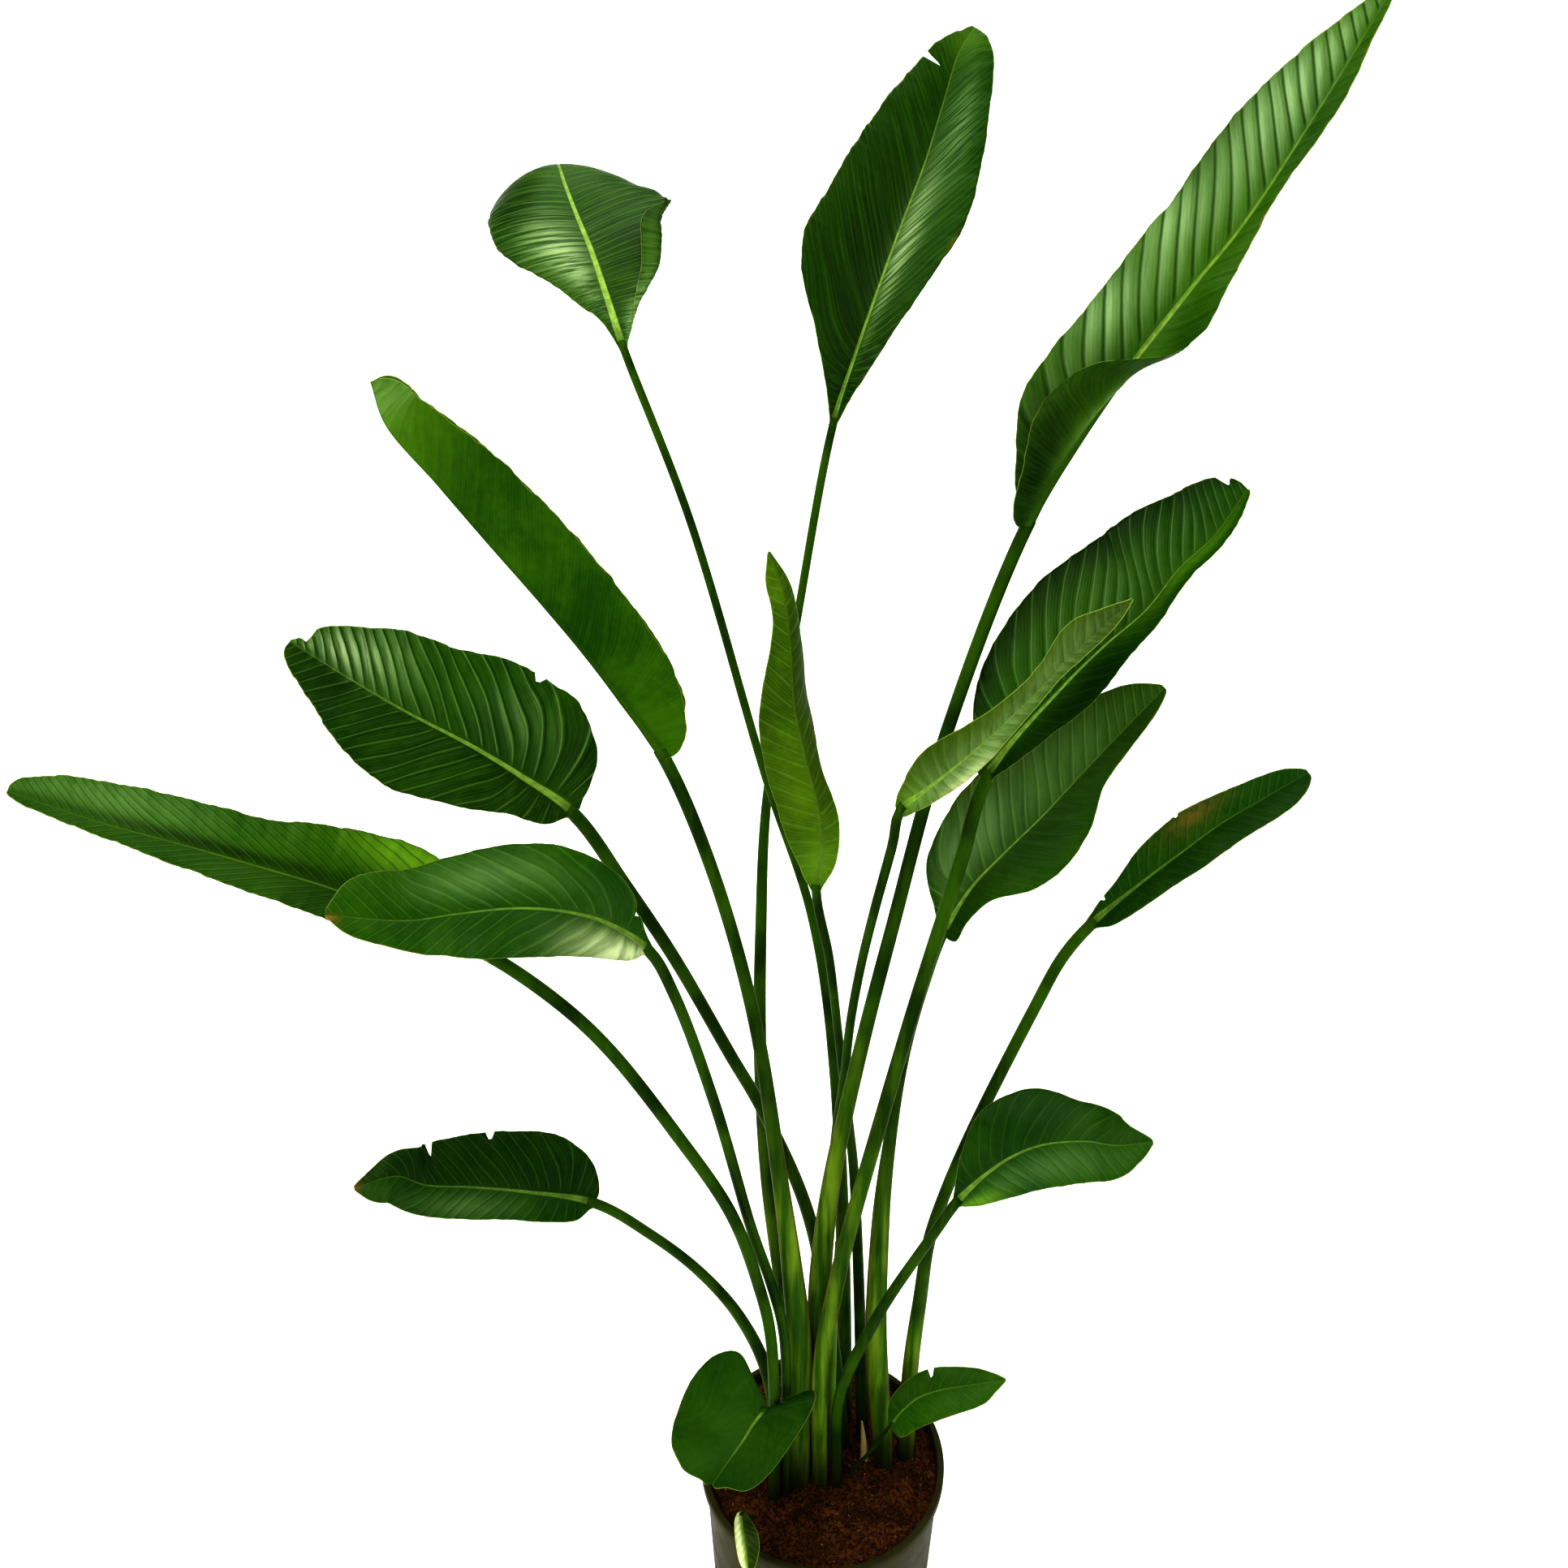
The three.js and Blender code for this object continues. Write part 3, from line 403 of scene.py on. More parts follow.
        midrib=[(219, 24, 866), (255, 24, 905), (285, 22, 936), (314, 20, 965), (343, 18, 988),
                (375, 16, 1013)],
        wide=[20, 16, 12, 11, 10], deep=[12, 12, 11, 10, 10],
        face=[(-0.3, -0.7, 0.65)],
        left=[4, 9, 15, 24, 27, 22, 18, 13, 6], right=[5, 15, 19, 20, 22, 21, 20, 16, 8],
        fold=both(30, 20, 15), curl=both(-10, -15, -10),
        ribs=8, relief=0.5, veins=(0.4, 0.2), keel=(1.3, 0.6), ripple=0.8, tone=0.2,
        halves=(1.1, 0.75), plain=(1, 0.3), tears=[(-1, 0.12, 0.4, 2), (-1, 0.5, 0.12, 2)],
        marks=dict(
            dry=[(0.55, 0.12, -0.75, 0.35, 0.45)],
        ),
    ),
    leaf_of(
        name="right_low", foot=(14, -24),
        stalk=[(13, -31, 348), (22, -36, 401), (36, -40, 449), (56, -46, 509), (92, -56, 598)],
        midrib=[(109, -60, 638), (131, -66, 675), (152, -72, 701), (174, -78, 718), (206, -90, 732),
                (226, -98, 735), (253, -108, 747)],
        wide=[12, 11, 11, 10, 9], deep=[11, 11, 10, 9, 9],
        face=[(-0.1, -0.65, 0.75)],
        left=[4, 12, 26, 44, 46, 33, 26, 13, 5], right=[5, 14, 23, 31, 35, 33, 28, 15, 5],
        fold=both(25, 15, 10), curl=both(-15, -25, -20),
        ribs=10, relief=0.4, veins=(0.2, 0.12), keel=(1.5, 0.7), ripple=0.8, tone=0.2,
        halves=(0.85, 1.05),
        marks=dict(
            painted_sheen=[(0.45, 0.3, 0.5, 0.4, 0.25)],
            lime=[(0.12, 0.12, 0.8, 0.3, 0.5)],
        ),
    ),
    leaf_of(
        name="right_small", foot=(30, -14),
        stalk=[(46, -20, 262)],
        midrib=[(67, -20, 304), (78, -24, 331), (93, -28, 355), (112, -32, 370), (135, -36, 381),
                (173, -42, 397)],
        wide=[4, 3.5], deep=[4, 3.5],
        face=[(-0.1, -0.6, 0.8)],
        left=[4, 9, 16, 19, 21, 18, 14, 8, 3], right=[12, 18, 21, 25, 25, 22, 18, 9, 3],
        fold=both(25, 15, 10), curl=both(-15, -25, -20),
        ribs=8, relief=0.3, veins=(0.1, 0.15), keel=(1.1, 0.6), ripple=0.6, tone=0.7,
        halves=(0.95, 1.15), tears=[(-1, 0.5, 0.7, 2)],
    ),
]

SHOOTS = [
    dict(
        name="young_shoot", foot=(8, 0), stalk=[(9, 1, 420), (9, 2, 530)],
        wide=[8, 7.5, 6.5, 1.5], deep=[6, 6, 5, 1.5], slot="leaf_young", finish="young",
    ),
    dict(
        name="dried_sheath", foot=(44, 2), stalk=[(43, 1, 250), (40, 0, 285)],
        wide=[10, 9, 6, 2], deep=[4, 4, 3, 1.5], slot="dried_sheath", finish="dried",
    ),
]


# ---- Curves --------------------------------------------------------------------------------------


def along(values, t):
    """Catmull-Rom curve through values spread evenly over 0 to 1, read at every t.

    Beyond each end stands the mirror image of the next value, so the curve leaves the ends straight.
    """
    values = np.asarray(values, float)
    t = np.asarray(t, float)
    if len(values) == 1:
        return np.broadcast_to(values[0], t.shape + values.shape[1:]).copy()
    padded = np.concatenate([2 * values[:1] - values[1:2], values, 2 * values[-1:] - values[-2:-1]])
    place = np.clip(t, 0, 1) * (len(values) - 1)
    index = np.minimum(place.astype(int), len(values) - 2)
    s = (place - index).reshape(t.shape + (1,) * (values.ndim - 1))
    before, start, end, after = (padded[index + k] for k in range(4))
    return (start * (1 + 2 * s) * (1 - s) ** 2 + (end - before) / 2 * s * (1 - s) ** 2
            + end * s * s * (3 - 2 * s) + (after - start) / 2 * s * s * (s - 1))


def centripetal(points, place):
    """Points of the centripetal Catmull-Rom curve at every place, counted in points from the first.

    Each span is the cubic whose end slopes weigh the neighbouring chords by the root of their lengths.
    """
    padded = np.concatenate([2 * points[:1] - points[1:2], points, 2 * points[-1:] - points[-2:-1]])
    index = np.clip(place.astype(int), 0, len(points) - 2)
    s = (place - index)[:, None]
    p0, p1, p2, p3 = (padded[index + k] for k in range(4))
    d0, d1, d2 = (np.sqrt(np.linalg.norm(b - a, axis=1))[:, None]
                  for a, b in ((p0, p1), (p1, p2), (p2, p3)))
    m1 = ((p1 - p0) / d0 - (p2 - p0) / (d0 + d1) + (p2 - p1) / d1) * d1
    m2 = ((p2 - p1) / d1 - (p3 - p1) / (d1 + d2) + (p3 - p2) / d2) * d1
    return p1 + m1 * s + (3 * (p2 - p1) - 2 * m1 - m2) * s ** 2 + (2 * (p1 - p2) + m1 + m2) * s ** 3


def stretch(points, first, last, u):
    """Centres and unit tangents of a spine at the shares u of the length between two of its points."""
    dense = centripetal(points, np.linspace(first, last, 1501))
    step = np.linalg.norm(np.diff(dense, axis=0), axis=1)
    length = np.concatenate([[0], np.cumsum(step)])
    slope = np.gradient(dense, length, axis=0)
    read = lambda table: np.stack([np.interp(u * length[-1], length, table[:, k]) for k in range(3)], 1)
    return read(dense), unit(read(slope)), length[-1]


def unit(vectors):
    """The vectors scaled to length one."""
    return vectors / np.maximum(np.linalg.norm(vectors, axis=-1, keepdims=True), 1e-12)


def smooth(low, high, x):
    """0 below low, 1 above high and the cubic 3t^2 - 2t^3 between them."""
    t = np.clip((x - low) / (high - low), 0, 1)
    return t * t * (3 - 2 * t)


def waves(x, seed, count=5, slowest=1.0, ratio=1.9):
    """Sum of sines with random phases, each shorter and weaker than the one before, within -1 to 1."""
    random = np.random.default_rng(seed)
    total, weights = np.zeros(np.shape(x)), 0
    for k in range(count):
        weight = 0.7 ** k
        total = total + weight * np.sin(2 * np.pi * (x * slowest * ratio ** k + random.random()))
        weights += weight
    return total / weights


def spine(leaf):
    """Points of a leaf's spine: its foot in the soil, the stalk and then the midrib."""
    x, y = leaf["foot"]
    foot = [(x, y, SOIL_TOP - FOOT_DEPTH), (x, y, SOIL_TOP + 4)]
    return np.array([*foot, *leaf["stalk"], *leaf.get("midrib", [])], float)


# ---- Meshes --------------------------------------------------------------------------------------


def ring_mesh(name, rings, attributes=None):
    """A closed mesh through an array of rings (ring, place, xyz), each end closed by a fan to its middle.

    Every attribute is an array (ring, place) or (ring, place, 3) of values for the same points.
    """
    count, size = rings.shape[:2]
    caps = np.stack([rings[0].mean(0), rings[-1].mean(0)])
    points = np.concatenate([rings.reshape(-1, 3), caps]) * MM
    place = np.arange(size)
    after = (place + 1) % size
    low = (np.arange(count - 1) * size)[:, None]
    quads = np.stack([low + place, low + after, low + size + after, low + size + place], -1)
    first = np.stack([np.full(size, count * size), after, place], -1)
    top = (count - 1) * size
    last = np.stack([np.full(size, count * size + 1), top + place, top + after], -1)
    values = {}
    for key, value in (attributes or {}).items():
        value = value.reshape(count * size, -1)
        ends = np.stack([value[:size].mean(0), value[-size:].mean(0)])
        values[key] = np.concatenate([value, ends])
    return build_mesh(name, points, [quads.reshape(-1, 4), first, last], values)


def build_mesh(name, points, faces, values=None):
    """A mesh object from points in metres and arrays of faces with equally many corners in each."""
    mesh = bpy.data.meshes.new(name)
    sizes = np.concatenate([np.full(len(part), part.shape[1]) for part in faces])
    corners = np.concatenate([part.ravel() for part in faces])
    mesh.vertices.add(len(points))
    mesh.vertices.foreach_set("co", points.astype(np.float32).ravel())
    mesh.loops.add(len(corners))
    mesh.loops.foreach_set("vertex_index", corners.astype(np.int32))
    mesh.polygons.add(len(sizes))
    starts = np.concatenate([[0], np.cumsum(sizes)[:-1]])
    mesh.polygons.foreach_set("loop_start", starts.astype(np.int32))
    mesh.polygons.foreach_set("use_smooth", np.ones(len(sizes), bool))
    mesh.update(calc_edges=True)
    for key, value in (values or {}).items():
        kind, field = ("FLOAT", "value") if value.shape[1] == 1 else ("FLOAT_VECTOR", "vector")
        layer = mesh.attributes.new(key, kind, "POINT")
        layer.data.foreach_set(field, value.astype(np.float32).ravel())
    mesh.validate()
    piece = bpy.data.objects.new(name, mesh)
    bpy.context.scene.collection.objects.link(piece)
    return piece


def finish_piece(piece, material, slot, *nodes):
    """Gives a piece its material, and lets it ride and stand for its nodes. The slot is not used."""
    piece.data.materials.append(material)
    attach(piece, BODY)
    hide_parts(*nodes)


# ---- Shapes --------------------------------------------------------------------------------------

ROWS_PER_RIB = 6
HALF_COLUMNS = 28
# Half-width and half-depth of a midrib at the tip, its rise above the blade and its channel's depth.
MIDRIB_TIP_HALF = 0.6
MIDRIB_RISE = 0.35
MIDRIB_CHANNEL = 0.3
# Lengths over which the stalk's width and its height above the blade run on into the midrib.
NECK_REACH = 28
NECK_RISE_REACH = 9
# Distance from the midrib over which the pleats grow.
PLEAT_REACH = 14
# Waves in a blade's outline as a share of the half-width, and their length.
WAVER = 0.012
WAVER_LENGTH = 40
# Height per unit of ripple of the waves along the margins, and their length.
RIPPLE_HEIGHT = 1.5
RIPPLE_LENGTH = 55
VEIN_CURVE = 1.15
ROLL_REACH = 0.12


def blade_half(leaf, which, u, whole, rib_half, seed):
    """One half of a blade's middle surface as (out, up, forward) distances from the midrib, its width
    at every row and the shares of the width at its columns.

    A row leaves the midrib at the fold angle and bends on by the curl, and by the roll where the margin
    is rolled: the angle is summed into a path whose length is the half-width, while the row runs
    towards the tip by the sweep times v^VEIN_CURVE, as a side vein does. Waves grow as v^2 to the
    margin.
    """
    side = (-1, 1)[which]
    lamina = np.maximum(along([0, *leaf[("left", "right")[which]], 0], np.arccos(1 - 2 * u) / np.pi), 0)
    lamina = lamina * (1 + WAVER * waves(u * whole / WAVER_LENGTH, seed + side, 4))
    for tear_side, place, depth, gap in leaf["tears"]:
        if tear_side == side:
            lamina = lamina * (1 - depth * np.clip(1 - np.abs(u - place) * whole / gap, 0, 1))
    width = np.hypot(lamina, rib_half)
    open_share = smooth(0, 0.95, lamina / width)
    fold = np.radians(along(leaf["fold"][which], u)) * open_share
    curl = np.radians(along(leaf["curl"][which], u)) * open_share
    sweep = along(leaf["sweep"][which], u) * open_share
    t = np.linspace(0, 1, HALF_COLUMNS + 1)
    v = t * (0.4 + 1.2 * t - 0.6 * t ** 2)
    angle = fold[:, None] + curl[:, None] * v
    for roll_side, place, reach, start, turn in leaf["rolls"]:
        if roll_side == side:
            share = np.exp(-((u - place) / reach) ** 4)
            fold_line = 1 - (1 - start) * share[:, None]
            angle = angle + np.radians(turn) * smooth(fold_line, fold_line + ROLL_REACH, v)
    middle = (angle[:, 1:] + angle[:, :-1]) / 2
    out, up = (np.cumsum(np.pad(share * np.diff(v), ((0, 0), (1, 0))), axis=1)
               for share in (np.cos(middle), np.sin(middle)))
    wave = waves(u * whole / RIPPLE_LENGTH + side, seed + 7 * side, 4)[:, None]
    lift = leaf["ripple"] * RIPPLE_HEIGHT * v ** 2 * wave
    path = np.stack([side * width[:, None] * out, width[:, None] * up + lift,
                     width[:, None] * v ** VEIN_CURVE * sweep[:, None]], -1)
    return path, width, v


def blade_rows(leaf, whole, seed):
    """Where the rows leave the midrib, as shares of its length, and how many side veins lie before each.

    The shares are 0.55 s plus 0.45 of the cosine ease of s, which crowds rows towards both ends, and
    waves keep the veins from being spread evenly.
    """
    ribs = int(round(whole / leaf["ribs"]))
    s = np.linspace(0, 1, ribs * ROWS_PER_RIB + 1)
    even = 0.55 * s + 0.45 * (1 - np.cos(np.pi * s)) / 2
    u = np.clip(even + waves(s, seed, 3, 2.5) * 0.35 / ribs * np.sin(np.pi * s), 0, 1)
    u[0], u[-1] = 0, 1
    return u, s * ribs


def midrib_section(leaf, u, whole):
    """Half-width of the midrib along the blade, and how far it stands beneath and above it.

    It starts as the stalk's own section, which fades as exp(-distance / NECK_REACH), and tapers to the
    tip.
    """
    wide, deep = leaf["wide"][-1] / 2, leaf["deep"][-1] / 2
    keel = min(leaf["keel"][0], wide)
    neck = np.exp(-u * whole / NECK_REACH)
    half = MIDRIB_TIP_HALF + (keel - MIDRIB_TIP_HALF) * (1 - u) ** 1.5 + (wide - keel) * neck
    under = MIDRIB_TIP_HALF + (deep - MIDRIB_TIP_HALF) * (1 - u) ** 1.6
    over = MIDRIB_RISE + (deep - MIDRIB_RISE) * np.exp(-u * whole / NECK_RISE_REACH)
    return half, under, over


def blade_marks(leaf, u, v):
    """How strongly each kind of mark shows: the sum of its bells exp(-(du/reach)^2 - (dv/reach)^2)."""
    shares = {kind: np.zeros(v.shape) for kind in ("painted_sheen", "lime", "pale", "dry", "dark")}
    for kind, bells in leaf["marks"].items():
        for place, reach, across, across_reach, strength in bells:
            bell = np.exp(-((u - place) / reach) ** 2 - ((v - across) / across_reach) ** 2)
            shares[kind] = shares[kind] + strength * bell
    return shares


def blade_values(leaf, u, v, phase, from_midrib, from_margin):
    """What the material reads at the points of a blade's rings, three numbers to an attribute.

    vein is veins passed, place across and 1 above to 0 beneath; edge is distance from the midrib in its
    half-widths, distance from the margin and place along; mark is painted sheen, lime and pale patches;
    the last is dryness, the lightness that paints light and shade on each half and under the dark marks,
    and place across.
    """
    u, v = np.broadcast_arrays(u[:, None], v)
    round_ring = lambda above, beneath: np.concatenate([above, beneath[:, -2:0:-1]], axis=1)
    upper = round_ring(np.ones(v.shape), np.zeros(v.shape))
    upper[:, [0, v.shape[1] - 1]] = 0.5
    marks = blade_marks(leaf, u, v)
    # Painted light and shade: each half's lightness has its own factor, and the dark marks, which are
    # painted shade, darken it further.
    left, right = leaf["halves"]
    light = left + (right - left) * smooth(-0.04, 0.04, v)
    values = {
        "vein": (phase, v, None),
        "edge": (from_midrib, from_margin, u),
        "mark": (marks["painted_sheen"], marks["lime"], marks["pale"]),
        "wear": (marks["dry"], light * (1 - 0.65 * np.clip(marks["dark"], 0, 1)), v),
    }
    return {key: np.stack([upper if part is None else round_ring(part, part) for part in parts], -1)
            for key, parts in values.items()}


def blade_shape(leaf, thickness):
    """Rings of points around a blade, and what its material reads at them.

    The surface of each half rises and falls by the pleats between veins, |sin| of the vein count, which
    is taken back with the distance from the midrib so that the veins lean towards the tip. Both faces
    lie half a thickness from it, and round the midrib they swell to the ellipse of midrib_section, with
    a channel above.
    """
    points = spine(leaf)
    first, last = 2 + len(leaf["stalk"]), len(points) - 1
    seed = sum(map(ord, leaf["name"]))
    whole = stretch(points, first, last, np.array([0.0, 1.0]))[2]
    u, veins_passed = blade_rows(leaf, whole, seed)
    centre, forward, _ = stretch(points, first, last, u)
    face = along(leaf["face"], u)
    normal = unit(face - (face * forward).sum(1, keepdims=True) * forward)
    axes = np.stack([np.cross(forward, normal), normal, forward], 1)

    section = midrib_section(leaf, u, whole)
    (left, left_width, steps), (right, right_width, _) = (
        blade_half(leaf, which, u, whole, section[0], seed) for which in (0, 1))
    path = np.concatenate([left[:, :0:-1], right], axis=1)
    sheet = centre[:, None] + np.einsum("rpk,rkx->rpx", path, axes)
    v = np.concatenate([-steps[:0:-1], steps])[None, :]
    width = np.where(v < 0, left_width[:, None], right_width[:, None])
    distance = np.abs(v) * width
    rib_half, rib_under, rib_over = (part[:, None] for part in section)

    outward = unit(np.cross(np.gradient(sheet, axis=1), np.gradient(sheet, axis=0)))
    outward[0], outward[-1] = normal[0], normal[-1]
    lean = leaf["lean"] * smooth(0, 0.35, u)
    phase = veins_passed[:, None] - lean[:, None] * distance / leaf["ribs"]
    pleat = np.abs(np.sin(np.pi * phase)) - 0.6
    free = smooth(rib_half, rib_half + PLEAT_REACH, distance)
    sheet = sheet + (leaf["relief"] * pleat * free * (1 - 0.4 * np.abs(v) ** 4))[..., None] * outward

    half = thickness / 2 * np.sqrt(np.clip(1 - np.abs(v) ** 9, 0, 1))
    bulge = np.sqrt(np.clip(1 - (distance / rib_half) ** 2, 0, 1))
    dip = np.exp(-(distance / (0.4 * rib_half)) ** 2) * smooth(0, 0.05, u)[:, None]
    over = np.maximum(half, rib_over * bulge) - MIDRIB_CHANNEL * dip
    under = np.maximum(half, rib_under * bulge)
    top = sheet + over[..., None] * outward
    bottom = sheet - under[..., None] * outward
    rings = np.concatenate([top, bottom[:, -2:0:-1]], axis=1)
    return rings, blade_values(leaf, u, v, phase, distance / rib_half, (1 - np.abs(v)) * width)


STALK_PLACES = 28
STALK_OVERLAP = 7
STALK_CHANNEL = 0.16
STALK_CHANNEL_TURN = 0.5


def stalk_shape(leaf, steps):
    """Rings of points around a stalk, and what its material reads at them: the cosine of the place
    round it, its width and its height.

    It is an ellipse carried along the spine, its long axis as near to X as the spine allows, with a
    shallow channel down the back.
    """
    points = spine(leaf)
    bears_blade = "midrib" in leaf
    u = np.append(np.linspace(0, 1, steps), 1)
    centre, forward, length = stretch(points, 0, 1 + len(leaf["stalk"]) + bears_blade, u)
    centre[-1] += STALK_OVERLAP * forward[-1] * bears_blade
    across = unit(np.array([1.0, 0, 0]) - forward[:, :1] * forward)
    back = np.cross(forward, across)
    turn = np.arange(STALK_PLACES) / STALK_PLACES * 2 * np.pi
    from_back = np.angle(np.exp(1j * (turn - np.pi / 2)))
    channel = 1 - STALK_CHANNEL * np.exp(-((from_back / STALK_CHANNEL_TURN) ** 2))
    wide, deep = (along(leaf[key], u)[:, None] / 2 for key in ("wide", "deep"))
    place_x = wide * np.cos(turn) * channel
    place_y = deep * np.sin(turn) * channel
    rings = centre[:, None] + place_x[..., None] * across[:, None] + place_y[..., None] * back[:, None]
    stem = np.broadcast_arrays(np.cos(turn), wide * 2, (u * length)[:, None])
    return rings, {"stem": np.stack(stem, -1)}


# ---- Materials -----------------------------------------------------------------------------------


class Finish:
    """A node material under construction. Its methods take sockets or plain values alike."""

    def __init__(self, name):
        self.material = bpy.data.materials.new(name)
        self.material.use_nodes = True
        self.tree = self.material.node_tree
        self.tree.nodes.clear()

    def node(self, kind, inputs=None, **settings):
        """A new node with these settings, its inputs linked to sockets or set to values."""
        made = self.tree.nodes.new(kind)
        for key, value in settings.items():
            setattr(made, key, value)
        for key, value in (inputs or {}).items():
            socket = made.inputs[key]
            if isinstance(value, bpy.types.NodeSocket):
                self.tree.links.new(value, socket)
            elif value is not None:
                opaque = socket.type == "RGBA" and len(value) == 3
                socket.default_value = (*value, 1) if opaque else value
        return made

    def math(self, operation, a, b=None, clamp=False):
        """The result of one operation on one or two numbers."""
        return self.node("ShaderNodeMath", {0: a, 1: b}, operation=operation, use_clamp=clamp).outputs[0]

    def times(self, first, *factors, clamp=False):
        """The product of all the numbers, held within 0 to 1 if it is clamped."""
        *middle, last = factors
        for factor in middle:
            first = self.math("MULTIPLY", first, factor)
        return self.math("MULTIPLY", first, last, clamp)

    def mix(self, share, a, b):
        """The colour at a share of the way from a to b."""
        return self.node("ShaderNodeMix", {0: share, 6: a, 7: b}, data_type="RGBA").outputs[2]

    def layers(self, colour, *layers):
        """A colour under layers of (share, colour), each mixed over the ones before."""
        for share, over in layers:
            colour = self.mix(share, colour, over)
        return colour

    def step(self, value, low, high, start=0.0, end=1.0):
        """start below low, end above high and the cubic step between them."""
        inputs = dict(enumerate((value, low, high, start, end)))
        return self.node("ShaderNodeMapRange", inputs, interpolation_type="SMOOTHSTEP").outputs[0]

    def read(self, name, output="Vector"):
        """The mesh's attribute of this name."""
        return self.node("ShaderNodeAttribute", attribute_name=name).outputs[output]

    def split(self, name):
        """The three numbers of an attribute."""
        return self.node("ShaderNodeSeparateXYZ", {0: self.read(name)}).outputs

    def noise(self, scale, detail=3.0, roughness=0.55, stretch_by=None, place=None):
        """Noise of about 0 to 1 over a place, or else over the object's own coordinates."""
        where = place or self.node("ShaderNodeTexCoord").outputs["Object"]
        if stretch_by:
            where = self.node("ShaderNodeMapping", {"Vector": where, "Scale": stretch_by}).outputs[0]
        inputs = {"Vector": where, "Scale": scale, "Detail": detail, "Roughness": roughness}
        return self.node("ShaderNodeTexNoise", inputs).outputs[0]

    def bump(self, height, strength, distance):
        """The normal of a surface that a height of 0 to 1 raises by up to the distance in metres."""
        inputs = {"Strength": strength, "Distance": distance, "Height": height}
        return self.node("ShaderNodeBump", inputs).outputs[0]

    def close(self, colour, roughness, normal=None, **constants):
        """The finished material."""
        inputs = {"Base Color": colour, "Roughness": roughness, "Normal": normal}
        inputs.update((key.replace("_", " "), value) for key, value in constants.items())
        shader = self.node("ShaderNodeBsdfPrincipled", inputs)
        self.node("ShaderNodeOutputMaterial", {"Surface": shader.outputs[0]})
        return self.material


def shade(colour, by):
    """A colour made lighter or darker by a factor, within 0 to 1."""
    return tuple(float(np.clip(c * by, 0, 1)) for c in colour)


def between(a, b, share):
    """The colour at a share of the way from a to b."""
    return tuple(float(x + (y - x) * share) for x, y in zip(a, b))


def leaf_greens(leaf, look):
    """The darker and the lighter green of a blade's upper side."""
    if leaf["finish"] == "young":
        return look.young_dark, look.young_light
    if leaf["finish"] == "matt":
        return look.matt_dark, look.matt_light
    shares = (leaf["tone"] * 0.5, 0.4 + leaf["tone"] * 0.6)
    return tuple(between(look.leaf_dark, look.leaf_light, share) for share in shares)


# Fine lines between two side veins, raised in the bump and painted as highlights.
HAIRS = 5


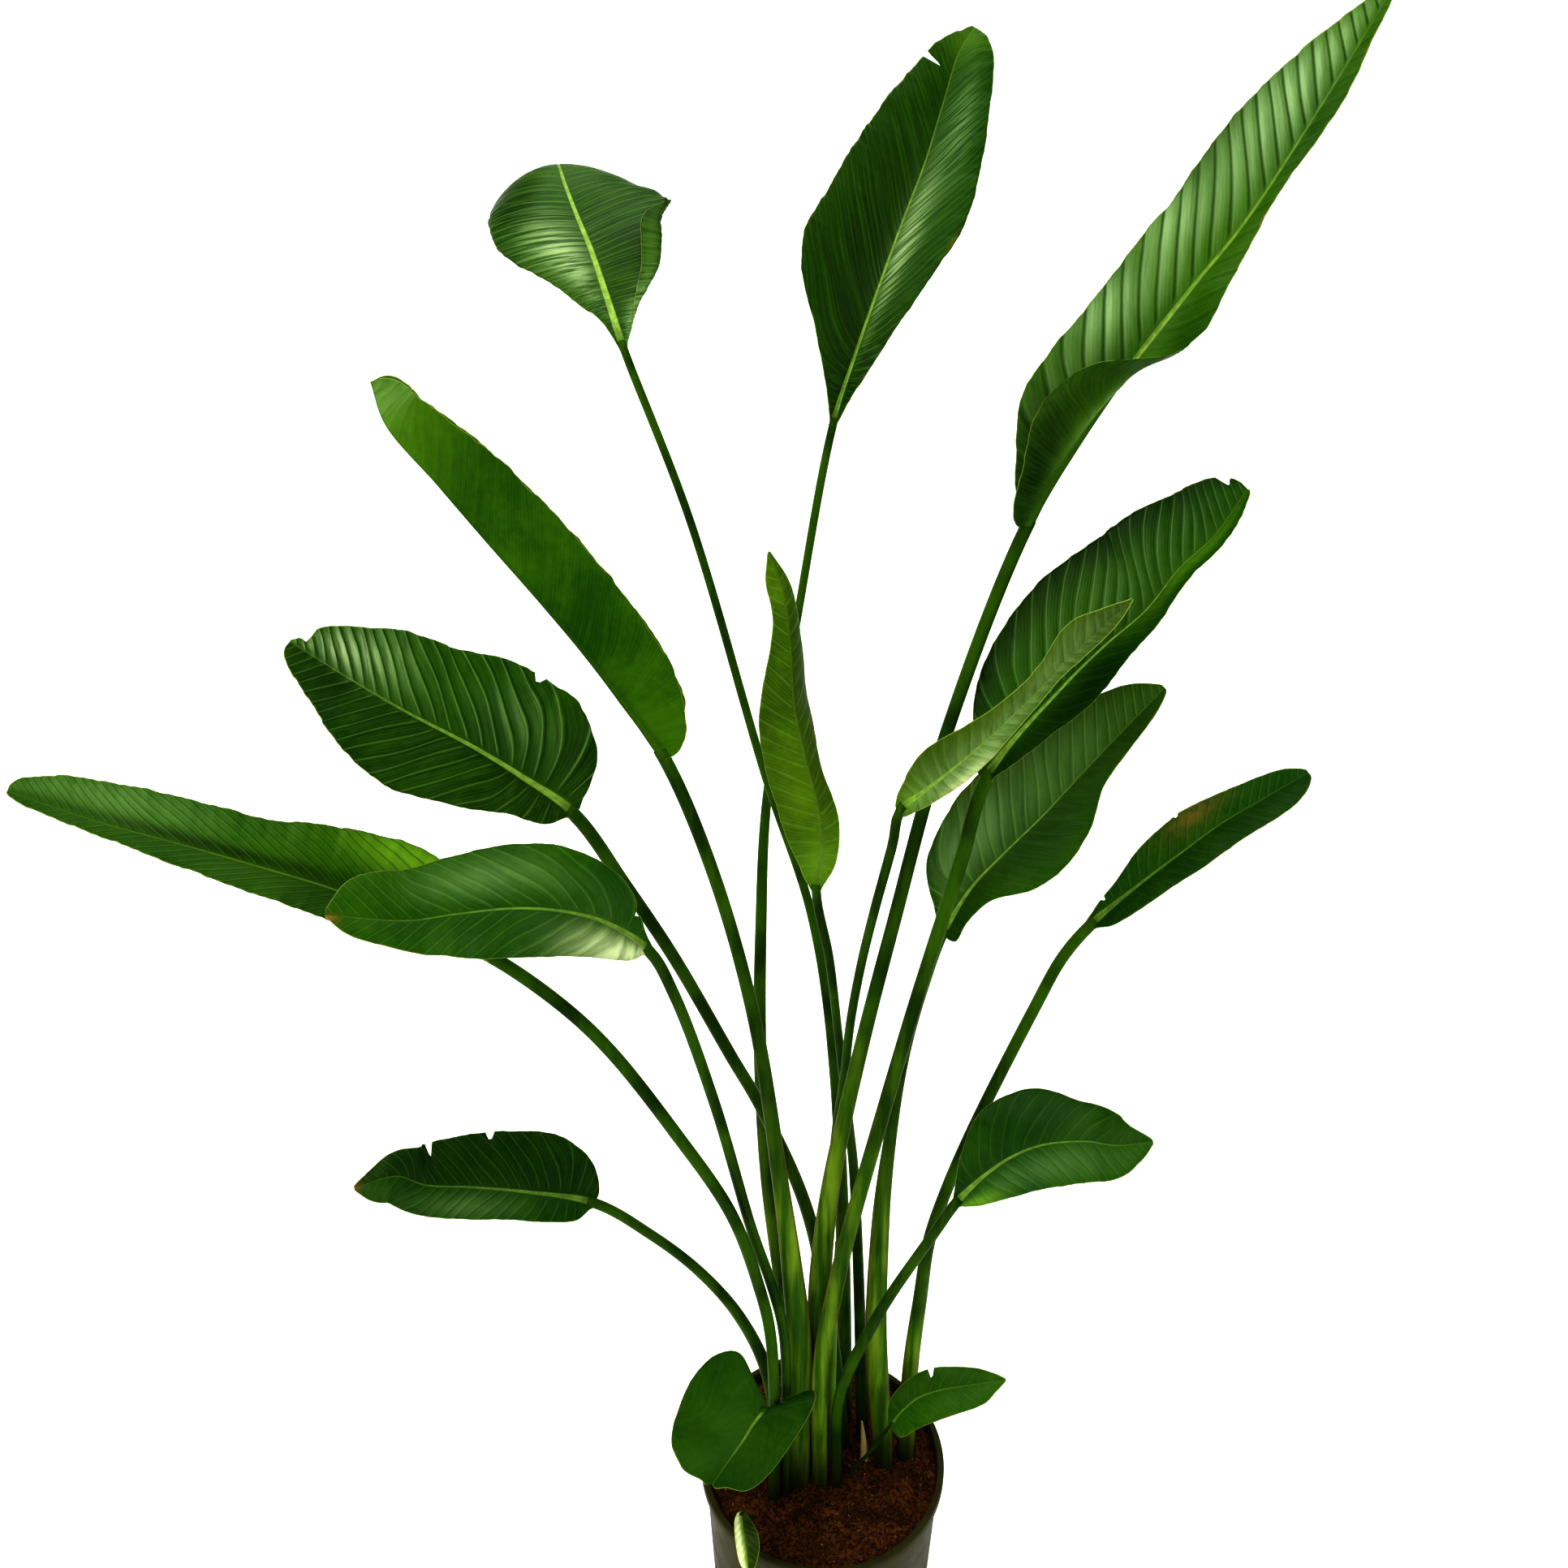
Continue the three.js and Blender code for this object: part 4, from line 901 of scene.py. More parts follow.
def leaf_material(leaf, look):
    """Blade finish: mottled green, lighter and darker half by half and under the dark marks as painted
    light and shade, a painted sheen on the pleats, a painted shade line in each furrow between pleats with
    a painted highlight line beside it, finer painted highlight lines and streaks along the veins, a pale
    midrib, a thin pale margin and the leaf's own marks; the underside is duller and more even."""
    make = Finish(f"leaf_{leaf['name']}")
    vein, edge, mark, wear = (make.split(key) for key in ("vein", "edge", "mark", "wear"))
    dark, light = leaf_greens(leaf, look)
    broad = make.noise(11.0, 2.0)
    fine = make.noise(160.0, 4.0, 0.6)
    streak = make.noise(1.0, 3.0, 0.65, stretch_by=(2.6, 1.2, 0), place=make.read("vein"))
    hair = make.math("SINE", make.times(vein[0], 2 * np.pi * HAIRS))

    mottled = make.step(make.math("ADD", make.times(broad, 0.75), make.times(fine, 0.25)), 0.35, 0.65)
    under = make.mix(mottled, look.under_dark, look.under_light)
    green = make.mix(vein[2], under, make.mix(mottled, dark, light))
    # The lightness scales the green, painting light and shade on the halves and under the dark marks.
    green = make.node("ShaderNodeHueSaturation", {"Value": wear[1], "Color": green}).outputs[0]

    # From one side vein to the next, with the painted shade line in the furrow at the vein and the painted
    # highlight line at 0.17.
    within = make.math("FRACT", vein[0])
    from_crest = make.math("ABSOLUTE", make.math("SUBTRACT", within, 0.5))
    furrow = make.step(from_crest, 0.34, 0.5, 0.0, leaf["veins"][0])
    from_line = make.math("ABSOLUTE", make.math("SUBTRACT", within, 0.17))
    ridge_highlight = make.step(from_line, 0.01, 0.07, leaf["veins"][1], 0.0)
    free = make.step(edge[0], 1.0, 3.5)
    from_above = make.times(make.step(vein[2], 0.0, 1.0, 0.25, 1.0),
                            make.step(wear[2], -0.02, 0.02, *leaf["plain"]))
    streaks = leaf["streaks"]
    # The painted sheen breaks into streaks along the veins, and it and the pale patches fade across each
    # pleat by the bands.
    streaked = make.step(streak, 0.38, 0.62, 1 - 0.85 * streaks, 1 + 0.15 * streaks)
    band = make.step(within, 0.2, 0.95, 1.0, 1.0 - leaf["bands"])
    pale = make.times(mark[2], make.step(streak, 0.35, 0.6, 1 - 0.8 * streaks, 1.1), clamp=True)
    colour = make.layers(
        green,
        # Painted sheen: a bluish highlight standing in for the reflection of the lights on the pleats.
        (make.times(mark[0], band, streaked, clamp=True), look.painted_sheen),
        (mark[1], look.lime),
        # Painted shade in each furrow and a painted highlight line beside it.
        (make.times(furrow, free, from_above), shade(dark, 0.55)),
        (make.times(ridge_highlight, free, from_above), look.ridge_highlight),
        # Painted highlights on the fine lines and light streaks along the veins; the dark streaks darken
        # the green between them.
        (make.step(hair, 0.2, 1.0, 0.0, 0.05 + 0.2 * streaks), shade(light, 1.6)),
        (make.step(streak, 0.42, 0.7, 0.0, 0.4 * streaks), shade(light, 1.5)),
        (make.step(streak, 0.3, 0.5, 0.35 * streaks, 0.0), shade(dark, 0.6)),
        # Pale patches, a painted sheen on most leaves and the real cream strip on the rim sprout.
        (make.times(pale, band), look.pale),
    )

    paleness = leaf["keel"][1]
    rib_light = shade(look.midrib, 0.25 + 0.75 * paleness)
    rib = make.mix(make.step(fine, 0.4, 0.6), rib_light, shade(rib_light, 0.75))
    rib = make.mix(make.step(edge[2], 0.0, 0.08, 0.85, 0.0), rib, look.keel)
    rib = make.mix(vein[2], look.keel, rib)
    rib_share = make.times(make.step(edge[0], 0.7, 1.15, 0.35 + 0.6 * paleness, 0.0),
                           make.step(edge[2], 0.2, 1.0, 1.0, 0.35))
    dry_margin = make.times(make.step(make.noise(38.0, 3.0), 0.62, 0.7),
                            make.step(edge[1], 0.5, 1.8, 0.5, 0.0))
    worn = make.times(wear[0], make.step(fine, 0.3, 0.6, 0.4, 1.0))
    colour = make.layers(
        colour,
        (rib_share, rib),
        (make.step(edge[1], 0.2, 0.8, 0.6, 0.0), look.margin),
        (make.math("ADD", dry_margin, worn, clamp=True), look.dry),
    )

    matt = leaf["finish"] == "matt"
    gloss = look.matt_roughness if matt else look.leaf_roughness
    duller = make.times(make.math("SUBTRACT", 1.0, vein[2]), 0.15)
    roughness = make.math("ADD", make.step(fine, 0.3, 0.7, gloss - 0.04, gloss + 0.08), duller)
    relief = make.math("ADD", make.times(hair, 0.25), make.times(fine, 1.2))
    return make.close(colour, roughness, make.bump(relief, 0.35, 0.0004),
                      Specular_IOR_Level=0.06 if matt else 0.1)


def stalk_material(name, look, low, high):
    """Stalk finish: a pale sheath at the foot that turns to the stalk's green further up, with fine
    lines along it and a reddish-brown margin on the sheath."""
    make = Finish(name)
    side, wide, height = make.split("stem")
    fine = make.noise(90.0, 3.0, 0.6, stretch_by=(1, 1, 0.06))
    broad = make.noise(14.0, 2.0)
    sheath = make.mix(make.step(fine, 0.35, 0.65), look.sheath_dark, look.sheath_light)
    sheathed = make.step(wide, 11.0, 18.0)
    at_margin = make.step(make.math("ABSOLUTE", side), 0.75, 0.97)
    colour = make.layers(
        make.mix(make.step(broad, 0.35, 0.65), low, high),
        (make.step(fine, 0.45, 0.75, 0.0, 0.4), shade(high, 1.5)),
        (make.times(sheathed, make.step(broad, 0.3, 0.6, 0.6, 1.0)), sheath),
        (make.times(at_margin, sheathed, make.step(fine, 0.35, 0.6, 0.2, 0.8)), look.sheath_red),
        # Painted shade where the stalks meet the soil, darkest at the foot.
        (make.times(make.step(height, 25.0, 120.0, 0.75, 0.0), make.step(wide, 5.0, 9.0)), look.soil_dark),
    )
    return make.close(colour, make.step(fine, 0.3, 0.7, 0.3, 0.45), make.bump(fine, 0.3, 0.0005),
                      Specular_IOR_Level=0.06)


def dried_material(look):
    """Papery dried sheath: straw with brown streaks along it."""
    make = Finish("dried_sheath")
    streak = make.noise(140.0, 4.0, 0.6, stretch_by=(1, 1, 0.08))
    colour = make.mix(make.step(streak, 0.35, 0.7), look.dried_light, look.dried_dark)
    return make.close(colour, 0.8, make.bump(streak, 0.6, 0.001))


def soil_material(look):
    """Coir and peat: dark reddish-brown crumbs with darker lumps, rough all over."""
    make = Finish("potting_mix")
    crumb = make.noise(260.0, 5.0, 0.65)
    lump = make.noise(45.0, 3.0)
    colour = make.mix(make.step(crumb, 0.38, 0.62), look.soil_dark, look.soil_light)
    colour = make.mix(make.step(lump, 0.35, 0.6, 0.6, 0.0), colour, shade(look.soil_dark, 0.6))
    height = make.math("ADD", crumb, make.times(lump, 1.5))
    return make.close(colour, 0.95, make.bump(height, 0.9, 0.002), Specular_IOR_Level=0.2)


def chip_material(look):
    """Husk chips and fibres: tan to reddish-brown, different from piece to piece."""
    make = Finish("coir_chips")
    grain = make.noise(300.0, 3.0, 0.6)
    colour = make.mix(make.read("shade", "Fac"), look.soil_dark, look.chip)
    colour = make.mix(make.step(grain, 0.4, 0.65, 0.0, 0.5), colour, look.soil_dark)
    return make.close(colour, 0.9, make.bump(grain, 0.5, 0.0006), Specular_IOR_Level=0.25)


# Heights between which the wall turns to the rim's colour and the dust on the rim grows.
RIM_COLOUR = (POT_HEIGHT - 13, POT_HEIGHT - 9)
RIM_DUST = (POT_HEIGHT - 6, POT_HEIGHT)


def pot_material(look):
    """Recycled black plastic: faint mottling, a fine moulded grain and dusty scuffs on the rim."""
    make = Finish("pot_plastic")
    grain = make.noise(900.0, 2.0, 0.5)
    dust = make.noise(30.0, 4.0, 0.6)
    high = make.split("place")[2]
    colour = make.layers(
        make.mix(make.step(dust, 0.3, 0.75, 0.35, 0.7), look.pot_dark, look.pot_light),
        (make.step(high, *RIM_COLOUR), look.rim),
        (make.times(make.step(dust, 0.55, 0.7), make.step(high, *RIM_DUST, 0.0, 0.5)), look.pot_dust),
    )
    roughness = make.step(dust, 0.3, 0.7, 0.45, 0.6)
    return make.close(colour, roughness, make.bump(grain, 0.12, 0.0003), Specular_IOR_Level=0.08)


def stage_material(look):
    """Pale matt backdrop with a hardly visible mottling."""
    make = Finish("backdrop")
    colour = make.mix(make.noise(2.0, 2.0), look.backdrop, shade(look.backdrop, 0.985))
    return make.close(colour, 0.9, Specular_IOR_Level=0.1, Emission_Strength=look.glow)


# ---- Settings ------------------------------------------------------------------------------------


def colour_setting(name, description, default):
    """A colour in a settings group."""
    return FloatVectorProperty(name=name, description=description, default=default, subtype="COLOR",
                               size=3, min=0, max=1)


def number_setting(name, description, default, **more):
    """A number in a settings group."""
    return FloatProperty(name=name, description=description, default=default, **more)


def length_setting(name, description, default):
    """A small length in metres in a settings group."""
    return number_setting(name, description, default, unit="LENGTH", precision=5)


def roughness_setting(name, description, default):
    """A roughness in a settings group."""
    return number_setting(name, description, default, min=0.05, max=1, subtype="FACTOR")


def count_setting(name, description, default, low, high):
    """A whole number in a settings group."""
    return IntProperty(name=name, description=description, default=default, min=low, max=high)


class PLANT_PG_foliage(bpy.types.PropertyGroup):
    """Sizes and colours of the leaves."""

    thickness: length_setting("Blade thickness", "Thickness of a blade between its veins", 0.6 * MM)
    leaf_roughness: roughness_setting("Gloss roughness", "Roughness of the glossy blades", 0.34)
    matt_roughness: roughness_setting("Matt roughness", "Roughness of the matt blades", 0.5)
    leaf_dark: colour_setting("Leaf dark", "Deepest green of the blades", (0.004, 0.042, 0.001))
    leaf_light: colour_setting("Leaf light", "Lightest green of the blades", (0.047, 0.115, 0.003))
    matt_dark: colour_setting("Matt dark", "Darker olive of the matt blades", (0.038, 0.074, 0.001))
    matt_light: colour_setting("Matt light", "Lighter olive of the matt blades", (0.068, 0.112, 0.002))
    young_dark: colour_setting("Young dark", "Darker green of the young blades", (0.06, 0.13, 0.001))
    young_light: colour_setting("Young light", "Lighter green of the young blades", (0.12, 0.22, 0.004))
    under_dark: colour_setting("Underside dark", "Darker green beneath the blades", (0.008, 0.042, 0.001))
    under_light: colour_setting("Underside light", "Lighter green beneath", (0.032, 0.085, 0.002))
    # Colour of the painted sheen, a bluish highlight standing in for reflections on the glossy pleats.
    painted_sheen: colour_setting("Painted sheen", "Bluish painted sheen", (0.23, 0.34, 0.16))
    # Colour of the painted highlight beside each furrow.
    ridge_highlight: colour_setting("Ridge", "Light line beside each furrow", (0.13, 0.24, 0.05))
    lime: colour_setting("Lime", "Yellow-green where light shines through", (0.2, 0.38, 0.03))
    # Whitish green of the pale patches: a painted sheen on most leaves, the real cream strip on the rim
    # sprout.
    pale: colour_setting("Pale", "Whitish green of pale patches", (0.6, 0.68, 0.38))
    midrib: colour_setting("Midrib", "Pale green of the midribs", (0.25, 0.38, 0.075))
    keel: colour_setting("Keel", "Green of the midrib beneath and at the stalk", (0.035, 0.085, 0.002))
    margin: colour_setting("Margin", "Thin pale line along the margins", (0.3, 0.38, 0.1))
    dry: colour_setting("Dry", "Dry spots along the margins", (0.22, 0.12, 0.03))


class PLANT_PG_stalks(bpy.types.PropertyGroup):
    """Sizes and colours of the stalks and shoots."""

    steps: count_setting("Rings", "Rings along each stalk", 90, 8, 400)
    stalk_dark: colour_setting("Stalk dark", "Darker green of the stalks", (0.012, 0.035, 0.001))
    stalk_light: colour_setting("Stalk light", "Lighter green of the stalks", (0.035, 0.085, 0.002))
    sheath_dark: colour_setting("Sheath dark", "Darker green of the sheaths", (0.03, 0.09, 0.004))
    sheath_light: colour_setting("Sheath light", "Yellow-green of the sheaths", (0.15, 0.23, 0.02))
    sheath_red: colour_setting("Sheath margin", "Reddish brown of the sheath margins",
                               (0.13, 0.06, 0.025))
    young: colour_setting("Young shoot", "Light green of the young shoot", (0.14, 0.26, 0.03))
    dried_light: colour_setting("Dried light", "Straw of the dried sheath", (0.4, 0.34, 0.16))
    dried_dark: colour_setting("Dried dark", "Brown of the dried sheath", (0.2, 0.12, 0.05))
    # Colour of the painted shade where the stalks meet the soil.
    soil_dark: colour_setting("Foot shade", "Painted shade where stalks meet the soil", (0.02, 0.01, 0.004))


class PLANT_PG_pot(bpy.types.PropertyGroup):
    """Sizes and colours of the pot and the potting mix."""

    segments: count_setting("Segments", "Faces round the pot", 144, 24, 512)
    chips: count_setting("Chips", "Husk chips on the soil", 900, 0, 4000)
    fibres: count_setting("Fibres", "Coir fibres on the soil", 500, 0, 3000)
    crumb: length_setting("Crumb height", "How uneven the soil is", CRUMB * MM)
    pot_dark: colour_setting("Wall dark", "Darker grey-green of the wall", (0.019, 0.019, 0.006))
    pot_light: colour_setting("Wall light", "Lighter grey-green of the wall", (0.056, 0.053, 0.016))
    rim: colour_setting("Rim", "Charcoal of the rim", (0.014, 0.016, 0.012))
    pot_dust: colour_setting("Dust", "Dust and scuffs on the rim", (0.12, 0.1, 0.07))
    soil_dark: colour_setting("Soil dark", "Dark crumbs", (0.032, 0.013, 0.004))
    soil_light: colour_setting("Soil light", "Reddish-brown crumbs", (0.135, 0.055, 0.013))
    chip: colour_setting("Chips", "Tan husk chips and fibres", (0.28, 0.14, 0.05))


class PLANT_PG_stage(bpy.types.PropertyGroup):
    """Backdrop, lights and camera."""

    radius: number_setting("Backdrop radius", "Middle of the stage to the wall", 5.5, unit="LENGTH")
    lens: number_setting("Lens", "Focal length in millimetres", 29.0)
    eye: FloatVectorProperty(name="Eye", description="Place of the camera", size=3,
                             default=(-0.04, -0.89, 1.435), subtype="TRANSLATION", unit="LENGTH")
    tilt: number_setting("Tilt", "How far the camera looks down", float(np.radians(25.5)),
                         subtype="ANGLE", unit="ROTATION")
    backdrop: colour_setting("Backdrop", "Colour of the floor and wall", (0.86, 0.86, 0.85))
    key: number_setting("Key light", "Watts of the key light", 70.0)
    fill: number_setting("Fill light", "Watts of the fill light", 25.0)
    top: number_setting("Top light", "Watts of the overhead light", 60.0)
    sky: number_setting("Sky", "Strength of the even light", 0.2)
    glow: number_setting("Backdrop glow", "Light that the backdrop gives off", 0.3)


# ---- Operators -----------------------------------------------------------------------------------


class PLANT_OT_blades(bpy.types.Operator):
    """Make the seventeen leaf blades"""

    bl_idname = "plant.blades"
    bl_label = "Leaf blades"

    def execute(self, context):
        look = context.scene.plant_foliage
        for leaf in LEAVES:
            rings, values = blade_shape(leaf, look.thickness / MM)
            piece = ring_mesh(f"lamina_{leaf['name']}", rings, values)
            slot = f"leaf_{leaf['finish']}"
            finish_piece(piece, leaf_material(leaf, look), slot, f"blade_{leaf['name']}")
        return {"FINISHED"}


class PLANT_OT_stalks(bpy.types.Operator):
    """Make the seventeen leaf stalks with their sheathing feet"""

    bl_idname = "plant.stalks"
    bl_label = "Leaf stalks"

    def execute(self, context):
        look = context.scene.plant_stalks
        green = stalk_material("stalk", look, look.stalk_dark, look.stalk_light)
        for leaf in LEAVES:
            rings, values = stalk_shape(leaf, look.steps)
            piece = ring_mesh(f"petiole_{leaf['name']}", rings, values)
            finish_piece(piece, green, "stalk", f"stalk_{leaf['name']}")
        return {"FINISHED"}


class PLANT_OT_shoots(bpy.types.Operator):
    """Make the young shoot and the dried sheath"""

    bl_idname = "plant.shoots"
    bl_label = "Shoots"

    def execute(self, context):
        look = context.scene.plant_stalks
        materials = {
            "young": stalk_material("young_shoot", look, shade(look.young, 0.7), look.young),
            "dried": dried_material(look),
        }
        for shoot in SHOOTS:
            rings, values = stalk_shape(shoot, look.steps // 2)
            piece = ring_mesh(f"{shoot['name']}_detail", rings, values)
            finish_piece(piece, materials[shoot["finish"]], shoot["slot"], shoot["name"])
        return {"FINISHED"}


def lathe_rings(profile, segments):
    """Rings of a turned shape: each (radius, height) of the profile carried round the Z axis."""
    turn = np.arange(segments) / segments * 2 * np.pi
    radius, height = profile[:, :1], profile[:, 1:]
    return np.stack([radius * np.cos(turn), radius * np.sin(turn), height + 0 * turn], -1)


def rounded(corners, steps=5):
    """A profile whose inner corners (radius, height, rounding) become quadratic curves."""
    out = [corners[0][:2]]
    for before, here, after in zip(corners, corners[1:], corners[2:]):
        point = np.array(here[:2], float)
        back, on = np.array(before[:2]) - point, np.array(after[:2]) - point
        back_length, on_length = np.linalg.norm(back), np.linalg.norm(on)
        reach = min(here[2], back_length * 0.49, on_length * 0.49)
        start, end = point + back / back_length * reach, point + on / on_length * reach
        t = np.linspace(0, 1, steps)[:, None]
        out.extend((1 - t) ** 2 * start + 2 * t * (1 - t) * point + t ** 2 * end)
    out.append(corners[-1][:2])
    return np.array([tuple(p) for p in out], float)


def pot_outside(z):
    """Radius of the pot's outer wall at a height."""
    return POT_FOOT_RADIUS + (POT_TOP_RADIUS - POT_FOOT_RADIUS) * z / POT_HEIGHT


class PLANT_OT_pot(bpy.types.Operator):
    """Turn the nursery pot with its rolled rim and drain holes"""

    bl_idname = "plant.pot"
    bl_label = "Pot"

    def execute(self, context):
        look = context.scene.plant_pot
        skirt = RIM_RADIUS - RIM_SKIN
        under = POT_HEIGHT - RIM_SKIN
        inside = lambda z: pot_outside(z) - POT_WALL
        # Radius, height and rounding, from the middle of the underside round the rim to the floor.
        profile = rounded([
            (0, 2.2, 0), (70, 2.2, 1), (72, 0.2, 1), (POT_FOOT_RADIUS - 4, 0, 1),
            (POT_FOOT_RADIUS - 0.3, 1, 2.5), (pot_outside(under), under, 1), (skirt, under, 0.8),
            (skirt, POT_HEIGHT - RIM_DROP, 0.7), (RIM_RADIUS, POT_HEIGHT - RIM_DROP, 0.9),
            (RIM_RADIUS, POT_HEIGHT, 2.4), (inside(POT_HEIGHT) - 0.2, POT_HEIGHT, 1.6),
            (inside(POT_FLOOR), POT_FLOOR + 0.1, 2), (0, POT_FLOOR + 0.1, 0),
        ])
        rings = lathe_rings(profile[1:-1], look.segments)
        piece = ring_mesh("nursery_pot", rings, {"place": rings})
        self.drill(context, piece)
        finish_piece(piece, pot_material(look), "pot_plastic", "pot")
        return {"FINISHED"}

    def drill(self, context, piece):
        """Cuts the drain holes, each with a prism."""
        turn = np.arange(DRAIN_SIDES) / DRAIN_SIDES * 2 * np.pi
        cutters = []
        for k in range(DRAIN_COUNT):
            around = 2 * np.pi * k / DRAIN_COUNT
            middle = DRAIN_CIRCLE * np.array([np.cos(around), np.sin(around)])
            ring = middle + DRAIN_RADIUS * np.stack([np.cos(turn), np.sin(turn)], -1)
            rings = np.stack([np.column_stack([ring, np.full(DRAIN_SIDES, z)]) for z in (-9.0, 9.0)])
            cutters.append(ring_mesh(f"cutter_{k}", rings))
        for cutter in cutters:
            cut = piece.modifiers.new("drain", "BOOLEAN")
            cut.operation, cut.solver, cut.object = "DIFFERENCE", "EXACT", cutter
        settled = bpy.data.meshes.new_from_object(piece.evaluated_get(context.evaluated_depsgraph_get()))
        piece.modifiers.clear()
        piece.data = settled
        for cutter in cutters:
            bpy.data.objects.remove(cutter)


# Gaps between the soil and the pot's wall and floor.
SOIL_GAP = 0.7
SOIL_LIFT = 0.4
SOIL_RINGS = 90
SOIL_SEGMENTS = 220
# Length and weight of the waves in the ground.
GROUND_WAVES = ((60, 0.5), (23, 0.45), (11, 0.5), (6.5, 0.4), (4.1, 0.3))
GROUND_SEED = 5
SCATTER_SEED = 11
# Smallest and largest half-length, half-width and half-height of a chip, and how far it is distorted.
CHIP_SIZES = ((0.8, 3.4), (0.5, 1.8), (0.3, 0.9))
CHIP_WOBBLE = (0.6, 1.25)
# Smallest and largest half-length, bend and radius of a fibre.
FIBRE_LENGTH = (4, 13)
FIBRE_BEND = (-0.5, 0.5)
FIBRE_RADIUS = (0.1, 0.28)
FIBRE_RINGS = 6


def turned(points, random, tilt=0.6):
    """Each shape of (shape, point, xyz) tilted a little and then turned about Z, both at random."""
    around = random.random(len(points)) * 2 * np.pi
    lean = random.uniform(-tilt, tilt, len(points))
    x, y, z = np.moveaxis(points, -1, 0)
    c, s = np.cos(lean)[:, None], np.sin(lean)[:, None]
    x, z = c * x - s * z, s * x + c * z
    c, s = np.cos(around)[:, None], np.sin(around)[:, None]
    return np.stack([c * x - s * y, s * x + c * y, z], -1)


def places(random, count, edge, lift):
    """Random spots on the soil, evenly spread over its disc, and lifted a little."""
    radius = np.sqrt(random.random(count)) * (edge - 4)
    around = random.random(count) * 2 * np.pi
    x, y = radius * np.cos(around), radius * np.sin(around)
    z = SOIL_TOP + SOIL_CROWN * (1 - (radius / edge) ** 2) + soil_height(x, y) * CRUMB + lift
    return np.stack([x, y, z], -1)


def husk_chips(random, count, edge):
    """Points, triangles and shades of squashed octahedra at random places and turns."""
    corners = np.array([(1, 0, 0), (0, 1, 0), (-1, 0, 0), (0, -1, 0), (0, 0, 1), (0, 0, -1)], float)
    sides = np.array([(0, 1, 4), (1, 2, 4), (2, 3, 4), (3, 0, 4), (1, 0, 5), (2, 1, 5), (3, 2, 5),
                      (0, 3, 5)])
    size = np.stack([random.uniform(low, high, count) for low, high in CHIP_SIZES], -1)
    wobble = random.uniform(*CHIP_WOBBLE, (count, 6, 3))
    points = turned(corners * wobble * size[:, None], random)
    points = points + places(random, count, edge, 0.3)[:, None]
    faces = (sides + 6 * np.arange(count)[:, None, None]).reshape(-1, 3)
    return points.reshape(-1, 3), faces, np.repeat(random.random(count) ** 2, 6)


def coir_fibres(random, count, edge):
    """Points, quads, end triangles and shades of thin bent prisms at random places and turns."""
    t = np.linspace(-1, 1, FIBRE_RINGS)
    length = random.uniform(*FIBRE_LENGTH, count)[:, None]
    bend = random.uniform(*FIBRE_BEND, (count, 2))[:, :, None]
    middle = np.stack([t * length, bend[:, 0] * length * (t ** 2 - 0.4),
                       0.25 * bend[:, 1] * length * t ** 3], -1)
    corner = np.arange(3)
    turn = corner / 3 * 2 * np.pi
    thin = random.uniform(*FIBRE_RADIUS, count)[:, None, None] * (1.05 - t[None, :, None] ** 4)
    ring = np.stack([0 * turn, np.cos(turn), np.sin(turn)], -1)
    points = (middle[:, :, None] + thin[..., None] * ring).reshape(count, -1, 3)
    points = turned(points, random, 0.25)
    points = points + places(random, count, edge, 0.9)[:, None]
    low = 3 * np.arange(FIBRE_RINGS - 1)[:, None]
    after = (corner + 1) % 3
    quads = np.stack([low + corner, low + after, low + 3 + after, low + 3 + corner], -1).reshape(-1, 4)
    size = 3 * FIBRE_RINGS
    ends = np.array([(0, 2, 1), (size - 3, size - 2, size - 1)])
    shift = size * np.arange(count)[:, None, None]
    shades = np.repeat(0.35 + 0.65 * random.random(count), size)
    return points.reshape(-1, 3), (quads + shift).reshape(-1, 4), (ends + shift).reshape(-1, 3), shades


class PLANT_OT_soil(bpy.types.Operator):
    """Fill the pot with potting mix, husk chips and fibres"""

    bl_idname = "plant.soil"
    bl_label = "Potting mix"

    def execute(self, context):
        look = context.scene.plant_pot
        edge = pot_outside(SOIL_TOP) - POT_WALL - SOIL_GAP
        floor = POT_FLOOR + SOIL_LIFT
        low = [(4, floor), (60, floor), (pot_outside(floor) - POT_WALL - SOIL_GAP, floor)]
        radii = np.linspace(1, 0, SOIL_RINGS) ** 0.8
        top = np.stack([radii * edge, SOIL_TOP + SOIL_CROWN * (1 - radii ** 2)], -1)
        rings = lathe_rings(np.concatenate([low, top[:-1]]), SOIL_SEGMENTS)
        crumbs = soil_height(rings[..., 0], rings[..., 1]) * look.crumb / MM
        rings[len(low):, :, 2] += crumbs[len(low):]
        piece = ring_mesh("potting_mix", rings)
        finish_piece(piece, soil_material(look), "soil", "soil")

        random = np.random.default_rng(SCATTER_SEED)
        chips, sides, chip_shades = husk_chips(random, look.chips, edge)
        fibres, quads, ends, fibre_shades = coir_fibres(random, look.fibres, edge)
        faces = [sides, quads + len(chips), ends + len(chips)]
        shades = np.concatenate([chip_shades, fibre_shades])[:, None]
        loose = build_mesh("coir_chips", np.concatenate([chips, fibres]) * MM, faces, {"shade": shades})
        finish_piece(loose, chip_material(look), "soil", "soil")
        return {"FINISHED"}


def soil_height(x, y):
    """Uneven ground within about -1 to 1: products of sines at random angles, from lumps to crumbs."""
    random = np.random.default_rng(GROUND_SEED)
    total = np.zeros(np.shape(x))
    for wavelength, weight in GROUND_WAVES:
        for _ in range(3):
            around, a, b = random.random(3) * 2 * np.pi
            p = (x * np.cos(around) + y * np.sin(around)) * 2 * np.pi / wavelength
            q = (y * np.cos(around) - x * np.sin(around)) * 2 * np.pi / wavelength
            total = total + weight * np.sin(p + a + np.sin(q * 0.7)) * np.sin(q + b) / 1.5
    return total


